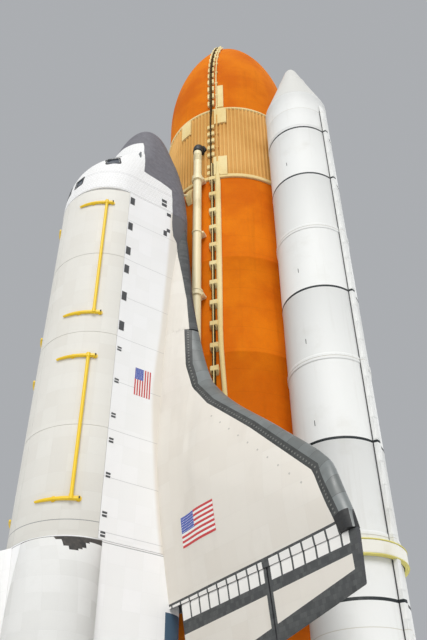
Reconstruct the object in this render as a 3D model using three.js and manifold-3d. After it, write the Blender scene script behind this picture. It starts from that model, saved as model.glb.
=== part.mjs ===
// A space shuttle on its launch stack, as a half-size model: the winged orbiter, the external tank that it
// is carried on, and the two solid rocket boosters that the stack stands on.
// The numbers below are the real vehicle's own, in inches and in its own stations, and INCH makes them
// millimetres of the model. Each vehicle has its stations along its length, counted from the nose to the tail.
import * as THREE from 'three';
import { mergeVertices } from 'three/addons/utils/BufferGeometryUtils.js';
import Module from 'manifold-3d';

const wasm = await Module();
wasm.setup();

// Scale and frame
const MODEL_SCALE = 0.5;
const INCH = 25.4 * MODEL_SCALE;
const GAP = 0.04; // between pieces that meet, so that each stays a solid of its own
const SEAM = 0.5; // the seam that shows between a door or flap and its surround
const BASE_STATION = 2473.6; // tank station of the floor, which the booster skirts stand on
const ORBITER_AHEAD = 741; // tank station less orbiter station
const ORBITER_ABOVE = 336.5; // from the orbiter's water lines to the tank's
const TANK_AXIS = 400; // water line of the tank's axis
const BOOSTER_AHEAD = 543; // tank station less booster station
const BOOSTER_OFFSET = 250.5; // from the tank's axis to each booster's
const SIDES = [['right', 1], ['left', -1]];

// External tank
const TANK_RADIUS = 165.5;
const TANK_NOSE = 322.5;
const OGIVE_START = 371;
const OGIVE_END = 744.6;
const OGIVE_RADIUS = 612;
const INTERTANK_TOP = 852.8;
const INTERTANK_END = 1123.2;
const TANK_AFT_RING = 2058;
const TANK_END = 2173;
const FEED_LINE_ANGLE = 24; // degrees round from the orbiter's side
const TRAY_ANGLE = 34;
const PRESSURE_LINE_ANGLE = 38.7;

// Solid rocket boosters
const BOOSTER_RADIUS = 73;
const BOOSTER_NOSE = 200;
const FRUSTUM_START = 275;
const FRUSTUM_END = 395;
const FORWARD_SKIRT_END = 523;
const MOTOR_END = 1837;
const SKIRT_END = BASE_STATION - BOOSTER_AHEAD;
const SKIRT_RADIUS = 106;
const ATTACH_RING = 1511;
const NOZZLE_PIVOT = 1860;
const NOZZLE_END = 1916;
const TUNNEL_ANGLE = 5; // degrees from straight outboard towards the side away from the orbiter
const FIELD_JOINTS = [851.5, 1171.5, 1491.5];

// Orbiter body
const BAY_START = 582;
const BAY_END = 1307;
const BAY_AXIS = 400; // water line of the payload bay's axis
const BAY_RADIUS = 92;
const DOOR_RADIUS = 100;
const DOOR_THICKNESS = 6;
const SILL = 417;
const SHELL = 6; // cabin wall with its tiles
const HULL_END = 1502;
const HEAT_SHIELD = { xo: 1462, zo: 443, slope: 0.198 }; // the sloping bulkhead that the engines come through
const NOSE_CAP_END = 264;

// Orbiter wing
const WING_ROOT = 105;
const WING_CRANK = 199;
const WING_TIP = 464.5;
const ELEVON_HINGE = 1387;
const ELEVONS = [['inboard', 132, 311], ['outboard', 313.5, WING_TIP]];

// Body flap
const FLAP_HINGE = { xo: 1532, zo: 287 };
const FLAP_CHORD = 81;
const FLAP_HALF_SPAN = 126;
const FLAP_NOSE = 8;

// Fin and rudder
const FIN = { root: 496, tip: 816, rootFront: 1277, tipFront: 1592.5, rootBack: 1545, tipBack: 1701 };
const RUDDER = { bottom: 600, top: 772 };
const HINGE_SHARE = 0.6; // of the fin's chord, from its front

// Main engines: gimbal point, pitch up and yaw out in degrees
const ENGINES = [
  { name: 'centre', xo: 1445, yo: 0, zo: 443.4, pitch: 16, yaw: 0 },
  { name: 'right', xo: 1468, yo: 53, zo: 342.6, pitch: 10, yaw: 3.5 },
  { name: 'left', xo: 1468, yo: -53, zo: 342.6, pitch: 10, yaw: -3.5 },
];
const ENGINE_LENGTH = 157;
const ENGINE_EXIT = 47;
const ENGINE_DOME = 34;

const lerp = (a, b, t) => a + (b - a) * t;
const rad = (degrees) => degrees * Math.PI / 180;

// The value at x in a table of [x, value] rows, straight between rows and held past its ends.
function along(rows, x, column = 1) {
  if (x <= rows[0][0]) return rows[0][column];
  for (let i = 1; i < rows.length; i++) {
    const [a, b] = [rows[i - 1], rows[i]];
    if (x <= b[0]) return lerp(a[column], b[column], (x - a[0]) / (b[0] - a[0]));
  }
  return rows[rows.length - 1][column];
}

// Geometry to solid and back

function toSolid(geometry) {
  const bare = new THREE.BufferGeometry();
  bare.setAttribute('position', geometry.getAttribute('position'));
  bare.setIndex(geometry.getIndex());
  const merged = mergeVertices(bare, 1e-4);
  const index = merged.index.array;
  const kept = [];
  for (let i = 0; i < index.length; i += 3) {
    const [a, b, c] = [index[i], index[i + 1], index[i + 2]];
    if (a !== b && b !== c && a !== c) kept.push(a, b, c);
  }
  const build = (triangles) => new wasm.Manifold(new wasm.Mesh({
    numProp: 3,
    vertProperties: new Float32Array(merged.attributes.position.array),
    triVerts: new Uint32Array(triangles),
  }));
  const solid = build(kept);
  if (solid.volume() > 0) return solid;
  for (let i = 0; i < kept.length; i += 3) [kept[i + 1], kept[i + 2]] = [kept[i + 2], kept[i + 1]];
  return build(kept);
}

function toGeometry(solid) {
  const mesh = solid.getMesh();
  const points = new Float32Array(mesh.numVert * 3);
  for (let i = 0; i < mesh.numVert; i++) {
    points.set(mesh.vertProperties.subarray(i * mesh.numProp, i * mesh.numProp + 3), i * 3);
  }
  const geometry = new THREE.BufferGeometry();
  geometry.setAttribute('position', new THREE.BufferAttribute(points, 3));
  geometry.setIndex(new THREE.BufferAttribute(new Uint32Array(mesh.triVerts), 1));
  geometry.scale(INCH, INCH, INCH);
  geometry.computeVertexNormals();
  return geometry;
}

const joined = (solids) => solids.reduce((a, b) => a.add(b));

// A closed skin through loops of points that have the same count, with flat ends.
function loft(loops) {
  const count = loops[0].length;
  const triangles = [];
  for (let i = 0; i + 1 < loops.length; i++) {
    for (let j = 0; j < count; j++) {
      const a = i * count + j;
      const b = i * count + (j + 1) % count;
      triangles.push(a, b, b + count, a, b + count, a + count);
    }
  }
  const cap = (loop, first, turned) => {
    const normal = new THREE.Vector3();
    loop.forEach((p, i) => {
      const q = loop[(i + 1) % count];
      normal.x += (p[1] - q[1]) * (p[2] + q[2]);
      normal.y += (p[2] - q[2]) * (p[0] + q[0]);
      normal.z += (p[0] - q[0]) * (p[1] + q[1]);
    });
    const size = normal.toArray().map(Math.abs);
    const drop = size.indexOf(Math.max(...size));
    const [u, v] = [[1, 2], [2, 0], [0, 1]][drop];
    const flat = loop.map((p) => new THREE.Vector2(p[u], p[v]));
    const positive = normal.getComponent(drop) > 0;
    for (const [a, b, c] of THREE.ShapeUtils.triangulateShape(flat, [])) {
      const face = positive !== turned ? [a, b, c] : [a, c, b];
      triangles.push(...face.map((k) => k + first));
    }
  };
  cap(loops[0], 0, true);
  cap(loops[loops.length - 1], (loops.length - 1) * count, false);
  const geometry = new THREE.BufferGeometry();
  geometry.setAttribute('position', new THREE.Float32BufferAttribute(loops.flat(2), 3));
  geometry.setIndex(triangles);
  return toSolid(geometry);
}

// A solid of revolution about the vertical axis, from rows of [radius, station]; stations count downwards.
function turned(rows, segments) {
  const profile = rows.map(([radius, station]) => new THREE.Vector2(radius, -station));
  return toSolid(new THREE.LatheGeometry(profile, segments).rotateX(Math.PI / 2));
}

function block(width, depth, height, x, y, z) {
  return toSolid(new THREE.BoxGeometry(width, depth, height).translate(x, y, z));
}

// A round bar from one point to another.
function bar(from, to, radius, segments = 8) {
  const [a, b] = [new THREE.Vector3(...from), new THREE.Vector3(...to)];
  const geometry = new THREE.CylinderGeometry(radius, radius, a.distanceTo(b), segments);
  const turn = new THREE.Quaternion().setFromUnitVectors(
    new THREE.Vector3(0, 1, 0), b.clone().sub(a).normalize());
  geometry.applyQuaternion(turn).translate(...a.add(b).multiplyScalar(0.5).toArray());
  return toSolid(geometry);
}

// A ring wall between two radii and two stations.
const ringWall = (inner, outer, top, bottom, segments) => turned(
  [[inner, top], [outer, top], [outer, bottom], [inner, bottom], [inner, top]], segments);

// Materials, with the colours that the photograph shows
const surface = (color, roughness, metalness = 0) => new THREE.MeshStandardMaterial({ color, roughness, metalness });
const LOOKS = {
  foam: surface(0xc4651b, 0.9),
  ribbedFoam: surface(0xcf9a5c, 0.9),
  creamPaint: surface(0xe6dcae, 0.6),
  boosterPaint: surface(0xe4e4df, 0.5),
  whiteBlanket: surface(0xe9e6e1, 0.85),
  whiteTile: surface(0xf0f0f0, 0.7),
  darkTile: surface(0x4a4a4e, 0.7),
  carbonEdge: surface(0x74777a, 0.55),
  yellowSteel: surface(0xe3c21d, 0.5),
  engineMetal: surface(0x8d8078, 0.4, 0.9),
  glass: surface(0x15181c, 0.1),
  bareMetal: surface(0xa8a8a6, 0.4, 0.8),
};

const stack = new THREE.Group();

function place(parent, name, solid, look) {
  const mesh = new THREE.Mesh(toGeometry(solid), look);
  mesh.name = name;
  parent.add(mesh);
  return mesh;
}

// External tank, in its own group: x to starboard, y away from the orbiter, z = minus the station

const tank = new THREE.Group();

function tankRadius(station) {
  const rise = Math.max(0, OGIVE_END - station);
  return Math.sqrt(OGIVE_RADIUS ** 2 - rise ** 2) - (OGIVE_RADIUS - TANK_RADIUS);
}

const ROUND = 32; // facets round the tank

function oxygenTank() {
  const ogive = [OGIVE_START, 395, 425, 465, 515, 575, 650, OGIVE_END];
  return turned([
    [0, TANK_NOSE], [2.5, TANK_NOSE + 1], [6, 336], [14, 346], [tankRadius(OGIVE_START) - 2, OGIVE_START - 4],
    ...ogive.map((station) => [tankRadius(station), station]),
    [TANK_RADIUS, INTERTANK_TOP - GAP], [0, INTERTANK_TOP - GAP],
  ], ROUND);
}

// The ribbed collar between the two tanks, with a smooth flange at each end.
function intertank() {
  const ribs = 26;
  const depth = 3.2;
  const flange = 7;
  const radiusAt = { flange: TANK_RADIUS + 3.6, rib: TANK_RADIUS + depth, valley: TANK_RADIUS };
  const loop = (station, ribbed) => Array.from({ length: ribs * 4 }, (_, k) => {
    const angle = 2 * Math.PI * (Math.floor(k / 4) + [0.05, 0.2, 0.55, 0.7][k % 4]) / ribs;
    const rib = k % 4 === 1 || k % 4 === 2 ? radiusAt.rib : radiusAt.valley;
    const radius = ribbed ? rib : radiusAt.flange;
    return [radius * Math.cos(angle), radius * Math.sin(angle), -station];
  });
  const [top, end] = [INTERTANK_TOP + GAP, INTERTANK_END - GAP];
  return loft([
    loop(top, false), loop(top + flange, false), loop(top + flange + 0.5, true),
    loop(end - flange - 0.5, true), loop(end - flange, false), loop(end, false),
  ]);
}

function hydrogenTank() {
  return turned([
    [0, INTERTANK_END + GAP], [TANK_RADIUS, INTERTANK_END + GAP],
    [TANK_RADIUS, TANK_AFT_RING - 14], [TANK_RADIUS + 2.5, TANK_AFT_RING - 12],
    [TANK_RADIUS + 2.5, TANK_AFT_RING + 4], [TANK_RADIUS, TANK_AFT_RING + 6],
    [158, 2096], [138, 2126], [106, 2150], [62, 2167], [24, TANK_END], [0, TANK_END],
  ], ROUND);
}

// Where a line on the tank runs: radius from the axis, degrees round from the orbiter's side, station.
const onTank = (radius, degrees, station) => [
  radius * Math.sin(rad(degrees)), -radius * Math.cos(rad(degrees)), -station];

// A raised line that follows the tank's skin, from rows of [station, half width, foot, height], and in some rows
// how many degrees it has drifted round.
function tankLine(rows, degrees) {
  return loft(rows.map(([station, half, foot, height, drift = 0]) => {
    const radius = tankRadius(station);
    const turn = (offset) => degrees + drift + THREE.MathUtils.radToDeg(offset / radius);
    return [
      onTank(radius + foot, turn(-half), station), onTank(radius + foot, turn(half), station),
      onTank(radius + foot + height, turn(half), station), onTank(radius + foot + height, turn(-half), station),
    ];
  }));
}

// The cable tray, with its brackets as wider blocks at even steps.
function cableTray() {
  const rows = [];
  const foot = 4.5;
  const plain = [3.2, foot, 5];
  const bracket = [7.5, foot, 7];
  for (let station = 424; station < 1800; station += 108) {
    rows.push([station, ...plain], [station + 99.5, ...plain], [station + 100, ...bracket]);
    rows.push([station + 107.5, ...bracket]);
  }
  rows.push([1860, ...plain]);
  return tankLine(rows, TRAY_ANGLE);
}

function pressureLine() {
  const plain = [3.5, 4.5, 6];
  // On the narrowing nose it drifts round to stay beside the tray's brackets.
  const beside = (station) => Math.max(0, THREE.MathUtils.radToDeg(11.8 / tankRadius(station))
    - (PRESSURE_LINE_ANGLE - TRAY_ANGLE));
  const rows = [436, 465, 515, 575, 650, OGIVE_END, 1100, 1600].map(
    (station) => [station, ...plain, beside(station)]);
  // Further down it drifts round to pass beside the feet of the aft frame.
  rows.push([1740, ...plain, 2.5], [2036, ...plain, 2.5]);
  return tankLine(rows, PRESSURE_LINE_ANGLE);
}

const ELBOW_STATION = 1022; // where the feed line comes out of the ribbed collar
const FEED_LINE_RADIUS = 10;
const FEED_LINE_REACH = TANK_RADIUS + 18;
const UMBILICAL_TOP = -2026;
const UMBILICAL = { station: 2052, half: 20, y: -186, x: 70 };

function feedLine() {
  const run = [];
  for (const station of [1060, 1110, 1500, 1960]) run.push(onTank(FEED_LINE_REACH, FEED_LINE_ANGLE, station));
  const points = [
    onTank(FEED_LINE_REACH + 1, FEED_LINE_ANGLE, ELBOW_STATION + 7),
    ...run,
    [UMBILICAL.x + 2, -174, -2000],
    [UMBILICAL.x, UMBILICAL.y, UMBILICAL_TOP + 12],
    [UMBILICAL.x, UMBILICAL.y, UMBILICAL_TOP + 0.4],
  ].map((p) => new THREE.Vector3(...p));
  const path = new THREE.CatmullRomCurve3(points, false, 'catmullrom', 0.2);
  const section = new THREE.Shape().absarc(0, 0, FEED_LINE_RADIUS, 0, 2 * Math.PI, false);
  const pipe = toSolid(new THREE.ExtrudeGeometry(section, { steps: 14, extrudePath: path, curveSegments: 5 }));
  const collars = [1126, 1480, 1880].map((station) => bar(
    onTank(FEED_LINE_REACH, FEED_LINE_ANGLE, station), onTank(FEED_LINE_REACH, FEED_LINE_ANGLE, station + 14),
    FEED_LINE_RADIUS + 3, 10));
  const elbow = bar(onTank(TANK_RADIUS + 5, FEED_LINE_ANGLE, ELBOW_STATION),
    onTank(FEED_LINE_REACH + 6, FEED_LINE_ANGLE, ELBOW_STATION), 11, 12);
  return joined([pipe, elbow, ...collars]);
}

// What the tank's barrel takes up, with a little air.
const tankRoom = () => turned([
  [0, 1800], [TANK_RADIUS + 2.5 + GAP, 1800], [TANK_RADIUS + 2.5 + GAP, 2075], [0, 2075],
], ROUND);

// The two struts and yoke that hold the orbiter's nose.
function forwardBipod() {
  const foot = TANK_RADIUS + 1;
  const fitting = -(ORBITER_AHEAD + 388);
  const skin = (x) => -Math.sqrt(foot ** 2 - x ** 2);
  const struts = [-38, 38].map((x) => bar([x, skin(x) - 2, -1150], [0, -205.5, fitting], 3.6));
  const yoke = bar([0, -199, fitting], [0, -209, fitting], 7);
  const feet = [-38, 38].map((x) => block(10, 8, 12, x, skin(x) - 5, -1152));
  return joined([...struts, yoke, ...feet]);
}

const AFT_POINT = { x: 96.5, y: -200, station: 2058 };

// The aft frame: a crossbeam between the orbiter's two aft fittings, the struts that carry it off the tank,
// and the two boxes where the propellant lines cross.
function aftFrame() {
  const z = -AFT_POINT.station;
  const skin = (x, out) => -Math.sqrt((TANK_RADIUS + out) ** 2 - x ** 2);
  const beam = block(2 * AFT_POINT.x, 12, 14, 0, -190, z);
  const parts = [beam];
  for (const [, side] of SIDES) {
    const fitting = [side * AFT_POINT.x, AFT_POINT.y, z];
    parts.push(bar([side * AFT_POINT.x, -190, z], fitting, 7));
    parts.push(bar([side * 100, skin(100, 8), -1880], [side * AFT_POINT.x, -190, z], 5.5));
    parts.push(bar([side * 118, skin(118, 9), z], [side * AFT_POINT.x, -190, z], 5.5));
    parts.push(block(14, 12, 16, side * 101, skin(101, 8), -1878));
    parts.push(block(14, 12, 12, side * 120, skin(120, 9), z));
    parts.push(block(2 * UMBILICAL.half, 26, 52, side * UMBILICAL.x, UMBILICAL.y, -UMBILICAL.station));
  }
  return joined(parts).subtract(tankRoom());
}

tank.position.z = BASE_STATION * INCH;
place(tank, 'tank_oxygen_section', oxygenTank(), LOOKS.foam);
place(tank, 'tank_intertank', intertank(), LOOKS.ribbedFoam);
place(tank, 'tank_hydrogen_section', hydrogenTank(), LOOKS.foam);
place(tank, 'tank_cable_tray', cableTray(), LOOKS.creamPaint);
place(tank, 'tank_pressure_line', pressureLine(), LOOKS.creamPaint);
place(tank, 'tank_feed_line', feedLine(), LOOKS.creamPaint);
place(tank, 'forward_bipod', forwardBipod(), LOOKS.foam);
place(tank, 'aft_attach_frame', aftFrame(), LOOKS.foam);

// Solid rocket boosters, each in a group on its own axis. side is 1 to starboard and -1 to port.

const FACETS = 24;

function boosterNose() {
  const cone = turned([
    [0, BOOSTER_NOSE], [7, 201.5], [11.5, 206], [15, 213], [34, FRUSTUM_START],
    [BOOSTER_RADIUS, FRUSTUM_END - GAP], [0, FRUSTUM_END - GAP],
  ], FACETS);
  // Four separation motors lie in the cone, on the side that faces the tank.
  const motors = [-21, -7, 7, 21].map((y) => bar([-38, y, -318], [-60, y, -352], 4.5, 6));
  return cone.subtract(joined(motors));
}

function boosterForwardSkirt(side) {
  const shell = turned([
    [0, FRUSTUM_END + GAP], [BOOSTER_RADIUS, FRUSTUM_END + GAP], [BOOSTER_RADIUS + 1, FRUSTUM_END + 3],
    [BOOSTER_RADIUS, FRUSTUM_END + 6], [BOOSTER_RADIUS, FORWARD_SKIRT_END - GAP], [0, FORWARD_SKIRT_END - GAP],
  ], FACETS);
  // The thrust post that pushes on the side of the intertank.
  const inner = BOOSTER_OFFSET - TANK_RADIUS - 4.4;
  return shell.add(bar([-side * 60, 0, -442.7], [-side * inner, 0, -442.7], 7, 12))
    .add(block(8, 30, 34, -side * 74, 0, -446));
}

function boosterMotor() {
  const rows = [[0, FORWARD_SKIRT_END + GAP], [BOOSTER_RADIUS, FORWARD_SKIRT_END + GAP]];
  const [proud, half] = [1.4, 5];
  for (const station of FIELD_JOINTS) {
    rows.push([BOOSTER_RADIUS, station - half - 1], [BOOSTER_RADIUS + proud, station - half]);
    rows.push([BOOSTER_RADIUS + proud, station + half], [BOOSTER_RADIUS, station + half + 1]);
  }
  rows.push([BOOSTER_RADIUS, MOTOR_END - GAP], [0, MOTOR_END - GAP]);
  return turned(rows, FACETS);
}

// The ring that takes the aft struts, with the three struts that reach to the tank.
function boosterAttachRing(side) {
  const [top, bottom] = [ATTACH_RING - 10, ATTACH_RING + 10];
  const ring = ringWall(BOOSTER_RADIUS + 0.5, BOOSTER_RADIUS + 8, top, bottom, FACETS);
  const tankSkin = (y) => Math.sqrt((TANK_RADIUS - 4) ** 2 - y ** 2) - BOOSTER_OFFSET;
  // Columns: y at the booster, y at the tank
  const struts = [[-52, -62], [52, 62], [-52, 46]].map(([yNear, yFar]) => bar(
    [-side * 56, yNear, -ATTACH_RING], [side * tankSkin(yFar), yFar, -ATTACH_RING], 4.5));
  const core = turned([
    [0, top - 20], [BOOSTER_RADIUS + 0.5, top - 20], [BOOSTER_RADIUS + 0.5, bottom + 20], [0, bottom + 20],
  ], FACETS);
  const besideTank = tankRoom().translate([-side * BOOSTER_OFFSET, 0, BOOSTER_AHEAD]);
  return ring.add(joined(struts).subtract(besideTank)).subtract(core).subtract(boosterTunnel(side, 0.5));
}

// The flared skirt that the stack stands on: four posts, rings, and four small separation motors.
function boosterAftSkirt() {
  const wall = 3;
  const skirt = turned([
    [BOOSTER_RADIUS - wall, MOTOR_END + GAP], [BOOSTER_RADIUS + 1.5, MOTOR_END + GAP],
    [BOOSTER_RADIUS + 1.5, MOTOR_END + 6], [BOOSTER_RADIUS + 2, MOTOR_END + 10],
    [SKIRT_RADIUS - 4, SKIRT_END - 8], [SKIRT_RADIUS, SKIRT_END - 6], [SKIRT_RADIUS, SKIRT_END],
    [SKIRT_RADIUS - 8, SKIRT_END], [SKIRT_RADIUS - 9, SKIRT_END - 8],
    [BOOSTER_RADIUS - wall, MOTOR_END + 14], [BOOSTER_RADIUS - wall, MOTOR_END + GAP],
  ], FACETS);
  const posts = [30, 150, 210, 330].map((degrees) => {
    const turn = rad(degrees);
    const reach = (radius, z) => [radius * Math.sin(turn), radius * Math.cos(turn), z];
    return bar(reach(BOOSTER_RADIUS + 8, -MOTOR_END - 22), reach(SKIRT_RADIUS - 4, -SKIRT_END + 5), 7, 6);
  });
  const motors = [-1.5, -0.5, 0.5, 1.5].map((step) => {
    const turn = rad(90 + 16 * step);
    const at = (z) => [85 * Math.sin(turn), 85 * Math.cos(turn), z];
    return bar(at(-MOTOR_END - 6), at(-MOTOR_END - 38), 6.5, 6);
  });
  return { skirt, posts, motors };
}

function boosterSkirtNode(side) {
  const { skirt, posts, motors } = boosterAftSkirt();
  const core = turned([
    [0, MOTOR_END - 5], [BOOSTER_RADIUS - 3.2, MOTOR_END - 5], [BOOSTER_RADIUS - 3.2, MOTOR_END + 14.5],
    [SKIRT_RADIUS - 9.2, SKIRT_END - 8], [SKIRT_RADIUS - 8.2, SKIRT_END + 5], [0, SKIRT_END + 5],
  ], FACETS);
  const below = block(300, 300, 20, 0, 0, -SKIRT_END - 10);
  const outboard = joined(motors);
  const turnedMotors = side > 0 ? outboard : outboard.mirror([1, 0, 0]);
  return skirt.add(joined(posts).add(turnedMotors).subtract(core).subtract(below));
}

// The motor's nozzle, hollow, with its ball at the pivot.
function boosterNozzle() {
  return turned([
    [24, NOZZLE_PIVOT - 18], [32, NOZZLE_PIVOT - 16], [40, NOZZLE_PIVOT - 6], [42, NOZZLE_PIVOT + 6],
    [48, NOZZLE_PIVOT + 24], [60, NOZZLE_END - 3], [60, NOZZLE_END], [57, NOZZLE_END],
    [45, NOZZLE_PIVOT + 22], [36, NOZZLE_PIVOT + 2], [26, NOZZLE_PIVOT - 10], [24, NOZZLE_PIVOT - 18],
  ], FACETS);
}

// The flexible bearing's outer ring, which carries the nozzle's second axis.
const boosterGimbal = () => ringWall(47, 55, NOZZLE_PIVOT - 9, NOZZLE_PIVOT + 1, FACETS);

// The cable tunnel down the outboard side, grown by grow.
function boosterTunnel(side, grow = 0) {
  const turn = rad(TUNNEL_ANGLE);
  const [foot, half, height] = [BOOSTER_RADIUS + 1.6, 6 + grow, 6 + grow];
  const out = [Math.cos(turn) * side, Math.sin(turn)];
  const across = [-out[1], out[0]];
  const loop = (station, share) => [[-1, 0], [1, 0], [0.7, 1], [-0.7, 1]].map(([u, v]) => [
    out[0] * (foot - grow + v * (height + grow) * share) + across[0] * u * half,
    out[1] * (foot - grow + v * (height + grow) * share) + across[1] * u * half, -station]);
  return loft([loop(430, 0.2), loop(444, 1), loop(MOTOR_END - 4, 1)]);
}

for (const [word, side] of SIDES) {
  const booster = new THREE.Group();
  booster.position.set(side * BOOSTER_OFFSET * INCH, 0, SKIRT_END * INCH);
  const nose = side > 0 ? boosterNose() : boosterNose().mirror([1, 0, 0]);
  place(booster, `booster_${word}_nose`, nose, LOOKS.boosterPaint);
  place(booster, `booster_${word}_forward_skirt`, boosterForwardSkirt(side), LOOKS.boosterPaint);
  place(booster, `booster_${word}_motor`, boosterMotor(), LOOKS.boosterPaint);
  place(booster, `booster_${word}_attach_ring`, boosterAttachRing(side), LOOKS.creamPaint);
  place(booster, `booster_${word}_aft_skirt`, boosterSkirtNode(side), LOOKS.boosterPaint);
  place(booster, `booster_${word}_nozzle`, boosterNozzle(), LOOKS.bareMetal);
  place(booster, `booster_${word}_nozzle_ring`, boosterGimbal(), LOOKS.bareMetal);
  place(booster, `booster_${word}_tunnel`, boosterTunnel(side), LOOKS.boosterPaint);
  stack.add(booster);
}

// Orbiter, in its own group: x to starboard, y = minus the water line, z = minus the station

const orbiter = new THREE.Group();
orbiter.position.set(0, (TANK_AXIS - ORBITER_ABOVE) * INCH, (BASE_STATION - ORBITER_AHEAD) * INCH);
const inOrbiter = (xo, yo, zo) => [yo, -zo, -xo];

// Columns: station, half width, half width at the crown's foot, top, bottom, crown's foot, corner share
const HULL = [
  [238, 8, 8, 342, 328, 335, 0.95],
  [242, 18, 18, 351, 319, 335, 0.95],
  [251, 30, 30, 361, 309, 336, 0.95],
  [NOSE_CAP_END, 41, 41, 371, 301, 337, 0.95],
  [290, 55, 54, 384, 291, 339, 0.9],
  [330, 69, 68, 398, 283, 343, 0.8],
  [370, 79, 78, 410, 278, 348, 0.65],
  [405, 86, 84, 421, 274, 354, 0.5],
  [435, 91, 88, 448, 272, 366, 0.4],
  [465, 95, 91, 474, 270, 380, 0.32],
  [500, 99, 95, 490, 269, 396, 0.26],
  [540, 102, 98, 498, 268, 410, 0.22],
  [BAY_START, 104, DOOR_RADIUS - 1.4, 500, 267, SILL, 0.2],
  [BAY_END, 105, DOOR_RADIUS - 1.4, 500, 267, SILL, 0.2],
  [1400, 105, 98, 500, 268, SILL, 0.2],
  [HULL_END, 105, 96, 494, 272, SILL, 0.2],
];
const CORNER_STEPS = 4;
const CROWN_STEPS = 8;

// The hull's outline at a station, grown outwards by grow.
function hullLoop(xo, grow = 0, floorRise = 0) {
  const [w, foot, top, bottom, side, corner] = [1, 2, 3, 4, 5, 6].map((k) => along(HULL, xo, k));
  const [W, F, T, B] = [w + grow, foot + grow, top + grow, bottom - grow + floorRise];
  const [cw, ch] = [corner * W, corner * (side - B)];
  const half = [[W - cw, B]];
  for (let k = 1; k <= CORNER_STEPS; k++) {
    const turn = rad(90 * k / CORNER_STEPS);
    half.push([W - cw + cw * Math.sin(turn), B + ch - ch * Math.cos(turn)]);
  }
  for (let k = 0; k < CROWN_STEPS; k++) {
    const turn = rad(90 * k / CROWN_STEPS);
    half.push([F * Math.cos(turn), side + (T - side) * Math.sin(turn)]);
  }
  const left = half.slice().reverse().map(([y, z]) => [-y, z]);
  return [...half, [0, T], ...left].map(([y, z]) => inOrbiter(xo, y, z));
}

function hull(from, to, grow = 0, floorRise = 0) {
  const stations = [from, ...HULL.map((row) => row[0]).filter((xo) => xo > from + 0.5 && xo < to - 0.5), to];
  return loft(stations.map((xo) => hullLoop(xo, grow, floorRise)));
}

const wholeHull = hull(238, HULL_END, GAP);
const cut = (xFrom, xTo, yFrom, yTo, zFrom, zTo) => block(
  yTo - yFrom, zTo - zFrom, xTo - xFrom, (yFrom + yTo) / 2, -(zFrom + zTo) / 2, -(xFrom + xTo) / 2);

// Windows: the pane's middle, its half width and half height, and how far it turns out and leans back in degrees
const PANES = [
  { yo: 17, xo: 428, zo: 442, half: 13.5, high: 12, turn: 12, lean: 50 },
  { yo: 49, xo: 442, zo: 440, half: 13, high: 12, turn: 42, lean: 53 },
  { yo: 69, xo: 476, zo: 450, half: 14, high: 12, turn: 73, lean: 56 },
];
const OVERHEAD = { yo: 20, xo: 536, half: 9.5, long: 10.5 };

function paneCutter(pane, side) {
  const shape = new THREE.Shape();
  const [a, b, r] = [pane.half, pane.high, 4];
  shape.moveTo(-a + r, -b);
  shape.lineTo(a - r, -b);
  shape.lineTo(a, -b + r);
  shape.lineTo(a, b - r);
  shape.lineTo(a - r, b);
  shape.lineTo(-a + r, b);
  shape.lineTo(-a, b - r);
  shape.lineTo(-a, -b + r);
  const geometry = new THREE.ExtrudeGeometry(shape, { depth: 40, bevelEnabled: false });
  // The shape's x stays across and its y runs up the slope; the depth is the way through the wall.
  geometry.translate(0, 0, -20);
  geometry.rotateX(rad(90 - pane.lean) + Math.PI);
  geometry.rotateZ(rad(side * pane.turn));
  geometry.translate(...inOrbiter(pane.xo, side * pane.yo, pane.zo));
  return toSolid(geometry);
}

// The crew hatch is a round plug in the port wall.
const HATCH = { xo: 520, zo: 345, radius: 20, room: 1, thick: 3 };
const roundCutter = (radius, depth) => toSolid(new THREE.CylinderGeometry(radius, radius, depth, 20)
  .rotateZ(Math.PI / 2).translate(...inOrbiter(HATCH.xo, -100, HATCH.zo)));

function windowCutters() {
  const cutters = [];
  for (const [, side] of SIDES) {
    for (const pane of PANES) cutters.push(paneCutter(pane, side));
    const { yo, xo, half, long } = OVERHEAD;
    cutters.push(cut(xo - long, xo + long, side * yo - half, side * yo + half, 470, 520));
  }
  return joined(cutters);
}

const CABIN = { start: 412, end: BAY_START - 8, floor: 46 };

function forwardFuselage() {
  const skin = hull(NOSE_CAP_END + GAP, BAY_START - GAP);
  const room = hull(CABIN.start, CABIN.end, -SHELL, CABIN.floor);
  const airlock = toSolid(new THREE.CylinderGeometry(18, 18, 40, 20).rotateX(Math.PI / 2)
    .translate(...inOrbiter(BAY_START, 0, 355)));
  return skin.subtract(room).subtract(airlock).subtract(windowCutters()).subtract(roundCutter(HATCH.radius, 60));
}

// A band of glass close inside the wall, seen through the cut windows.
function glassBand(from, to, low, high, halfWidth) {
  const outer = hull(CABIN.start, CABIN.end, -SHELL - 0.15, CABIN.floor);
  const inner = hull(CABIN.start, CABIN.end, -SHELL - 1.6, CABIN.floor);
  return outer.subtract(inner).intersect(cut(from, to, -halfWidth, halfWidth, low, high));
}

// The hatch is thinner than the wall, and has room round it, so that it swings out clear of its hole.
function hatch() {
  const skin = hull(480, 560).subtract(hull(470, 570, -HATCH.thick));
  return roundCutter(HATCH.radius - HATCH.room, 60).intersect(skin);
}

const noseCap = () => hull(238, NOSE_CAP_END);

function midFuselage() {
  const trough = hull(BAY_START, BAY_END);
  const above = cut(BAY_START - 5, BAY_END + 5, -130, 130, SILL, 540);
  const bay = toSolid(new THREE.CylinderGeometry(BAY_RADIUS, BAY_RADIUS, 740, 36).rotateX(Math.PI / 2)
    .translate(...inOrbiter((BAY_START + BAY_END) / 2, 0, BAY_AXIS)));
  const mouth = cut(BAY_START - 5, BAY_END + 5, -BAY_RADIUS, BAY_RADIUS, BAY_AXIS, 540);
  return trough.subtract(above).subtract(bay).subtract(mouth);
}

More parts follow.
